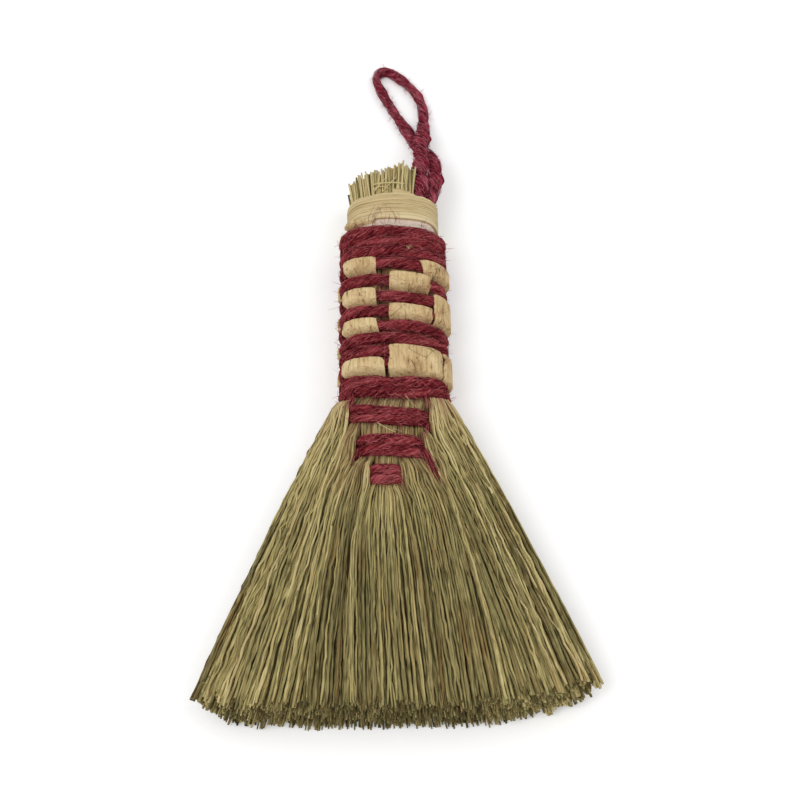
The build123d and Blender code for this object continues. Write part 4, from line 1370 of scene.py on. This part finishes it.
def ring_waves(s, counts, heights):
    """An uneven line round the head that meets itself at the back."""
    return waves(s, [head_oval.round / count for count in counts], heights)


def round_head():
    """Places round the head, from the back, as a column."""
    half = head_oval.round / 2
    return np.linspace(-half, half, WRAP_SAMPLES, endpoint=False)[:, None]


def add_sleeve(piece, s, corners):
    """A wrap round the head: the Y, rise and shade of each corner of its closed profile."""
    y, rise, shade = (np.concatenate([corner[n] + 0 * s for corner in corners], 1)
                      for n in range(3))
    rings, _ = head_oval.place(s, y, rise)
    grain = np.stack([y, rise, s + 0 * y], -1)
    piece.add(rings[None, :, ::-1], shade[None, :, ::-1], grain[None, :, ::-1], closed=True)


def make_strip():
    """The pale strip, wound round and round, each turn's edge over the last, with a torn tab."""
    low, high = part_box("head_strip_wrap")
    inside = high.x - head_oval.half_width - STRIP_THICKNESS
    s = round_head()
    slant = 0.0007 * np.sin(tau * s / head_oval.round + 0.6)
    top = high.y + ring_waves(s, (3, 7, 29), (0.00025, 0.00018, 0.00010))
    for start, end, rise in STRIP_TAB:
        top = top + rise * ((s > start) & (s < end))
    edges = [low.y + ring_waves(s, (2, 5), (0.0002, 0.0001))]
    for share in STRIP_TURNS[1:]:
        uneven = ring_waves(s, (3, 8, 21), (0.0002, 0.0001, 0.00005))
        edges.append(mix(low.y, high.y, share) + slant + uneven)
    edges.append(top)
    # The wrap's rims and each turn's lower edge are tinted darker: painted shade where one turn
    # lies over the last
    corners = [(edges[0], inside, 0.4), (edges[0], inside + 0.00070, 0.42)]
    for n, (base, upper) in enumerate(zip(edges, edges[1:])):
        uneven = ring_waves(s, (5, 17), (0.00004, 0.00002))
        shade = chance.uniform(0.46, 0.56)
        for k in range(STRIP_STEPS + 1):
            part = k / STRIP_STEPS
            rise = STRIP_THICKNESS - 0.00016 * part + 0.00010 * sin(pi * part) + uneven
            corners.append((mix(base, upper, part), inside + rise, 0.37 if k == 0 and n else shade))
    corners += [(top, inside + 0.0002, 0.4), (np.minimum(top, high.y), inside, 0.4)]
    piece = Piece()
    add_sleeve(piece, s, corners)
    piece.make("strip_wrap", strip_look, "strip_wrap", "head_strip_wrap")


def make_tape():
    """The thin white tape under the strip, its lower edge frayed."""
    low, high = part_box("head_tape")
    inside = high.x - head_oval.half_width - TAPE_THICKNESS
    s = round_head()
    bottom = low.y - TAPE_TUCK + ring_waves(s, (7, 19, 43), (0.0003, 0.0002, 0.0001))
    uneven = ring_waves(s, (11, 29), (0.00010, 0.00006))
    profile = [(bottom, 0.0), (bottom, 0.0004), (low.y + 0.0009, 0.00058),
               (low.y + 0.003, TAPE_THICKNESS), (high.y, TAPE_THICKNESS), (high.y, 0.0)]
    piece = Piece()
    add_sleeve(piece, s, [(y, inside + rise + uneven * (rise > 0), 0.5) for y, rise in profile])
    spot = chance.uniform(0, head_oval.round, TAPE_FRAY)
    edge = low.y + chance.uniform(0, 0.0008, TAPE_FRAY)
    start, out = head_oval.place(spot, edge, inside + 0.0004)
    way = out * chance.uniform(0.1, 0.7, (TAPE_FRAY, 1)) + chance.normal(0, 0.35, (TAPE_FRAY, 3))
    way = unit(way + np.array([0, -1.0, 0]))
    share = np.linspace(0, 1, HAIR_STEPS)
    length = chance.uniform(0.0008, 0.0028, TAPE_FRAY)
    centres = start[:, None] + way[:, None] * (share[:, None] * length[:, None, None])
    radii = np.full((TAPE_FRAY, 1), 0.00006) * (1 - 0.5 * share)
    tubes(piece, centres, radii, 3, chance.uniform(0.4, 0.8, TAPE_FRAY), outward=(0.3, 0.2, 0.9))
    piece.make("fibre_tape", tape_look, "tape", "head_tape")


make_strip()
make_tape()


# Hanging loop

def route_curve():
    """Points read from the smooth curve that has the route as its control points."""
    curve = bpy.data.curves.new("loop_route", "CURVE")
    curve.dimensions = "3D"
    curve.resolution_u = 16
    spline = curve.splines.new("NURBS")
    spline.points.add(len(LOOP_ROUTE) - 1)
    for point, place in zip(spline.points, LOOP_ROUTE):
        point.co = (*place, 1.0)
    spline.order_u = 3
    spline.use_endpoint_u = True
    guide = add_object("loop_route", curve)
    bpy.context.view_layer.update()
    mesh = bpy.data.meshes.new_from_object(guide)
    points = np.array([v.co[:] for v in mesh.vertices])
    bpy.data.meshes.remove(mesh)
    bpy.data.objects.remove(guide)
    return points


LOOP_NAP = 2600
LOOP_HAIRS = 1700
# Width of the loop's cord, in diameters, at distances from its nearer end
LOOP_WIDTHS = (
    [0.0, 0.010, 0.024, 0.044, 0.056, 0.064, 0.074],
    [1.20, 1.42, 1.52, 1.42, 1.42, 1.14, 0.90],
)


def make_loop():
    """The two-ply jute cord, its two legs loose and fluffed out where they enter the head."""
    path = route_curve()
    lengths = lengths_to(path)
    from_end = np.minimum(lengths, lengths[-1] - lengths)
    width = LOOP_CORD * np.interp(from_end, *LOOP_WIDTHS)
    width = width * (1 + waves(lengths, (0.023, 0.0113, 0.0061), (0.08, 0.08, 0.05)))
    thickness = LOOP_CORD * np.interp(from_end, [0.022, 0.046], [1.12, 0.96])
    piece = Piece()
    made = Yarn(path, (0, 0, 1), width, thickness, LOOP_LAY, (0.66, 0.76), 2.0)
    made.add_plies(piece)
    made.add_nap(piece, LOOP_NAP, 0.0075, arc=(0, tau))
    made.add_hairs(piece, LOOP_HAIRS, 0.0034, furthest=0.0046)
    loop = piece.make("loop_jute", loop_look, "loop_cord", "hanging_loop")


make_loop()


# Floor, light and camera

# Half the floor's side, how much it glows for the camera, and the light from all round
FLOOR_REACH = 3.0
FLOOR_GLOW = 0.24
SKY_LIGHT = 0.62


def make_stage():
    mesh = bpy.data.meshes.new("floor")
    far = FLOOR_REACH
    corners = [(-far, -far, 0), (far, -far, 0), (far, far, 0), (-far, far, 0)]
    mesh.from_pydata(corners, [], [(0, 1, 2, 3)])
    floor = add_object("floor", mesh)
    s = Shader("pale_floor")
    material = s.finish((0.92, 0.92, 0.92, 1.0), 0.9, specular=0.1)
    glow = s.node("Emission")
    glow.inputs[0].default_value = (1, 1, 1, 1)
    rays = s.node("LightPath")
    s.put(s.math("MULTIPLY", rays.outputs["Is Camera Ray"], FLOOR_GLOW), glow.inputs[1])
    both = s.node("AddShader")
    s.put(s.surface.outputs[0], both.inputs[0])
    s.put(glow.outputs[0], both.inputs[1])
    s.put(both.outputs[0], s.nodes["Material Output"].inputs[0])
    mesh.materials.append(material)


def make_world():
    world = bpy.data.worlds.new("studio")
    bpy.context.scene.world = world
    world.use_nodes = True
    nodes, links = world.node_tree.nodes, world.node_tree.links
    lit = nodes["Background"]
    lit.inputs[0].default_value = (1, 1, 1, 1)
    lit.inputs[1].default_value = SKY_LIGHT
    seen = nodes.new("ShaderNodeBackground")
    seen.inputs[1].default_value = 1.0
    path = nodes.new("ShaderNodeLightPath")
    choose = nodes.new("ShaderNodeMixShader")
    links.new(path.outputs["Is Camera Ray"], choose.inputs[0])
    links.new(lit.outputs[0], choose.inputs[1])
    links.new(seen.outputs[0], choose.inputs[2])
    links.new(choose.outputs[0], nodes["World Output"].inputs[0])


def make_lamp(name, place, size, energy):
    lamp = bpy.data.lights.new(name, "AREA")
    lamp.size = size
    lamp.energy = energy
    made = add_object(name, lamp)
    made.location = place
    made.rotation_euler = (-Vector(place)).to_track_quat("-Z", "Y").to_euler()


def make_camera():
    camera = bpy.data.cameras.new("camera")
    camera.lens = CAMERA_LENS
    camera.sensor_width = CAMERA_SENSOR
    camera.clip_start, camera.clip_end = 0.01, 10.0
    made = add_object("camera", camera)
    away = Vector((0, -cos(CAMERA_ELEVATION), sin(CAMERA_ELEVATION)))
    made.location = CAMERA_TARGET + away * CAMERA_DISTANCE
    turn = (-away).to_track_quat("-Z", "Y").to_matrix().to_4x4()
    made.rotation_euler = (turn @ Matrix.Rotation(CAMERA_ROLL, 4, "Z")).to_euler()
    bpy.context.scene.camera = made


make_stage()
make_world()
make_lamp("key", (-0.7, -0.6, 1.4), 0.9, 9.0)
make_lamp("fill", (0.9, 0.2, 1.2), 1.2, 3.6)
make_camera()
bpy.context.scene.view_settings.view_transform = "Standard"
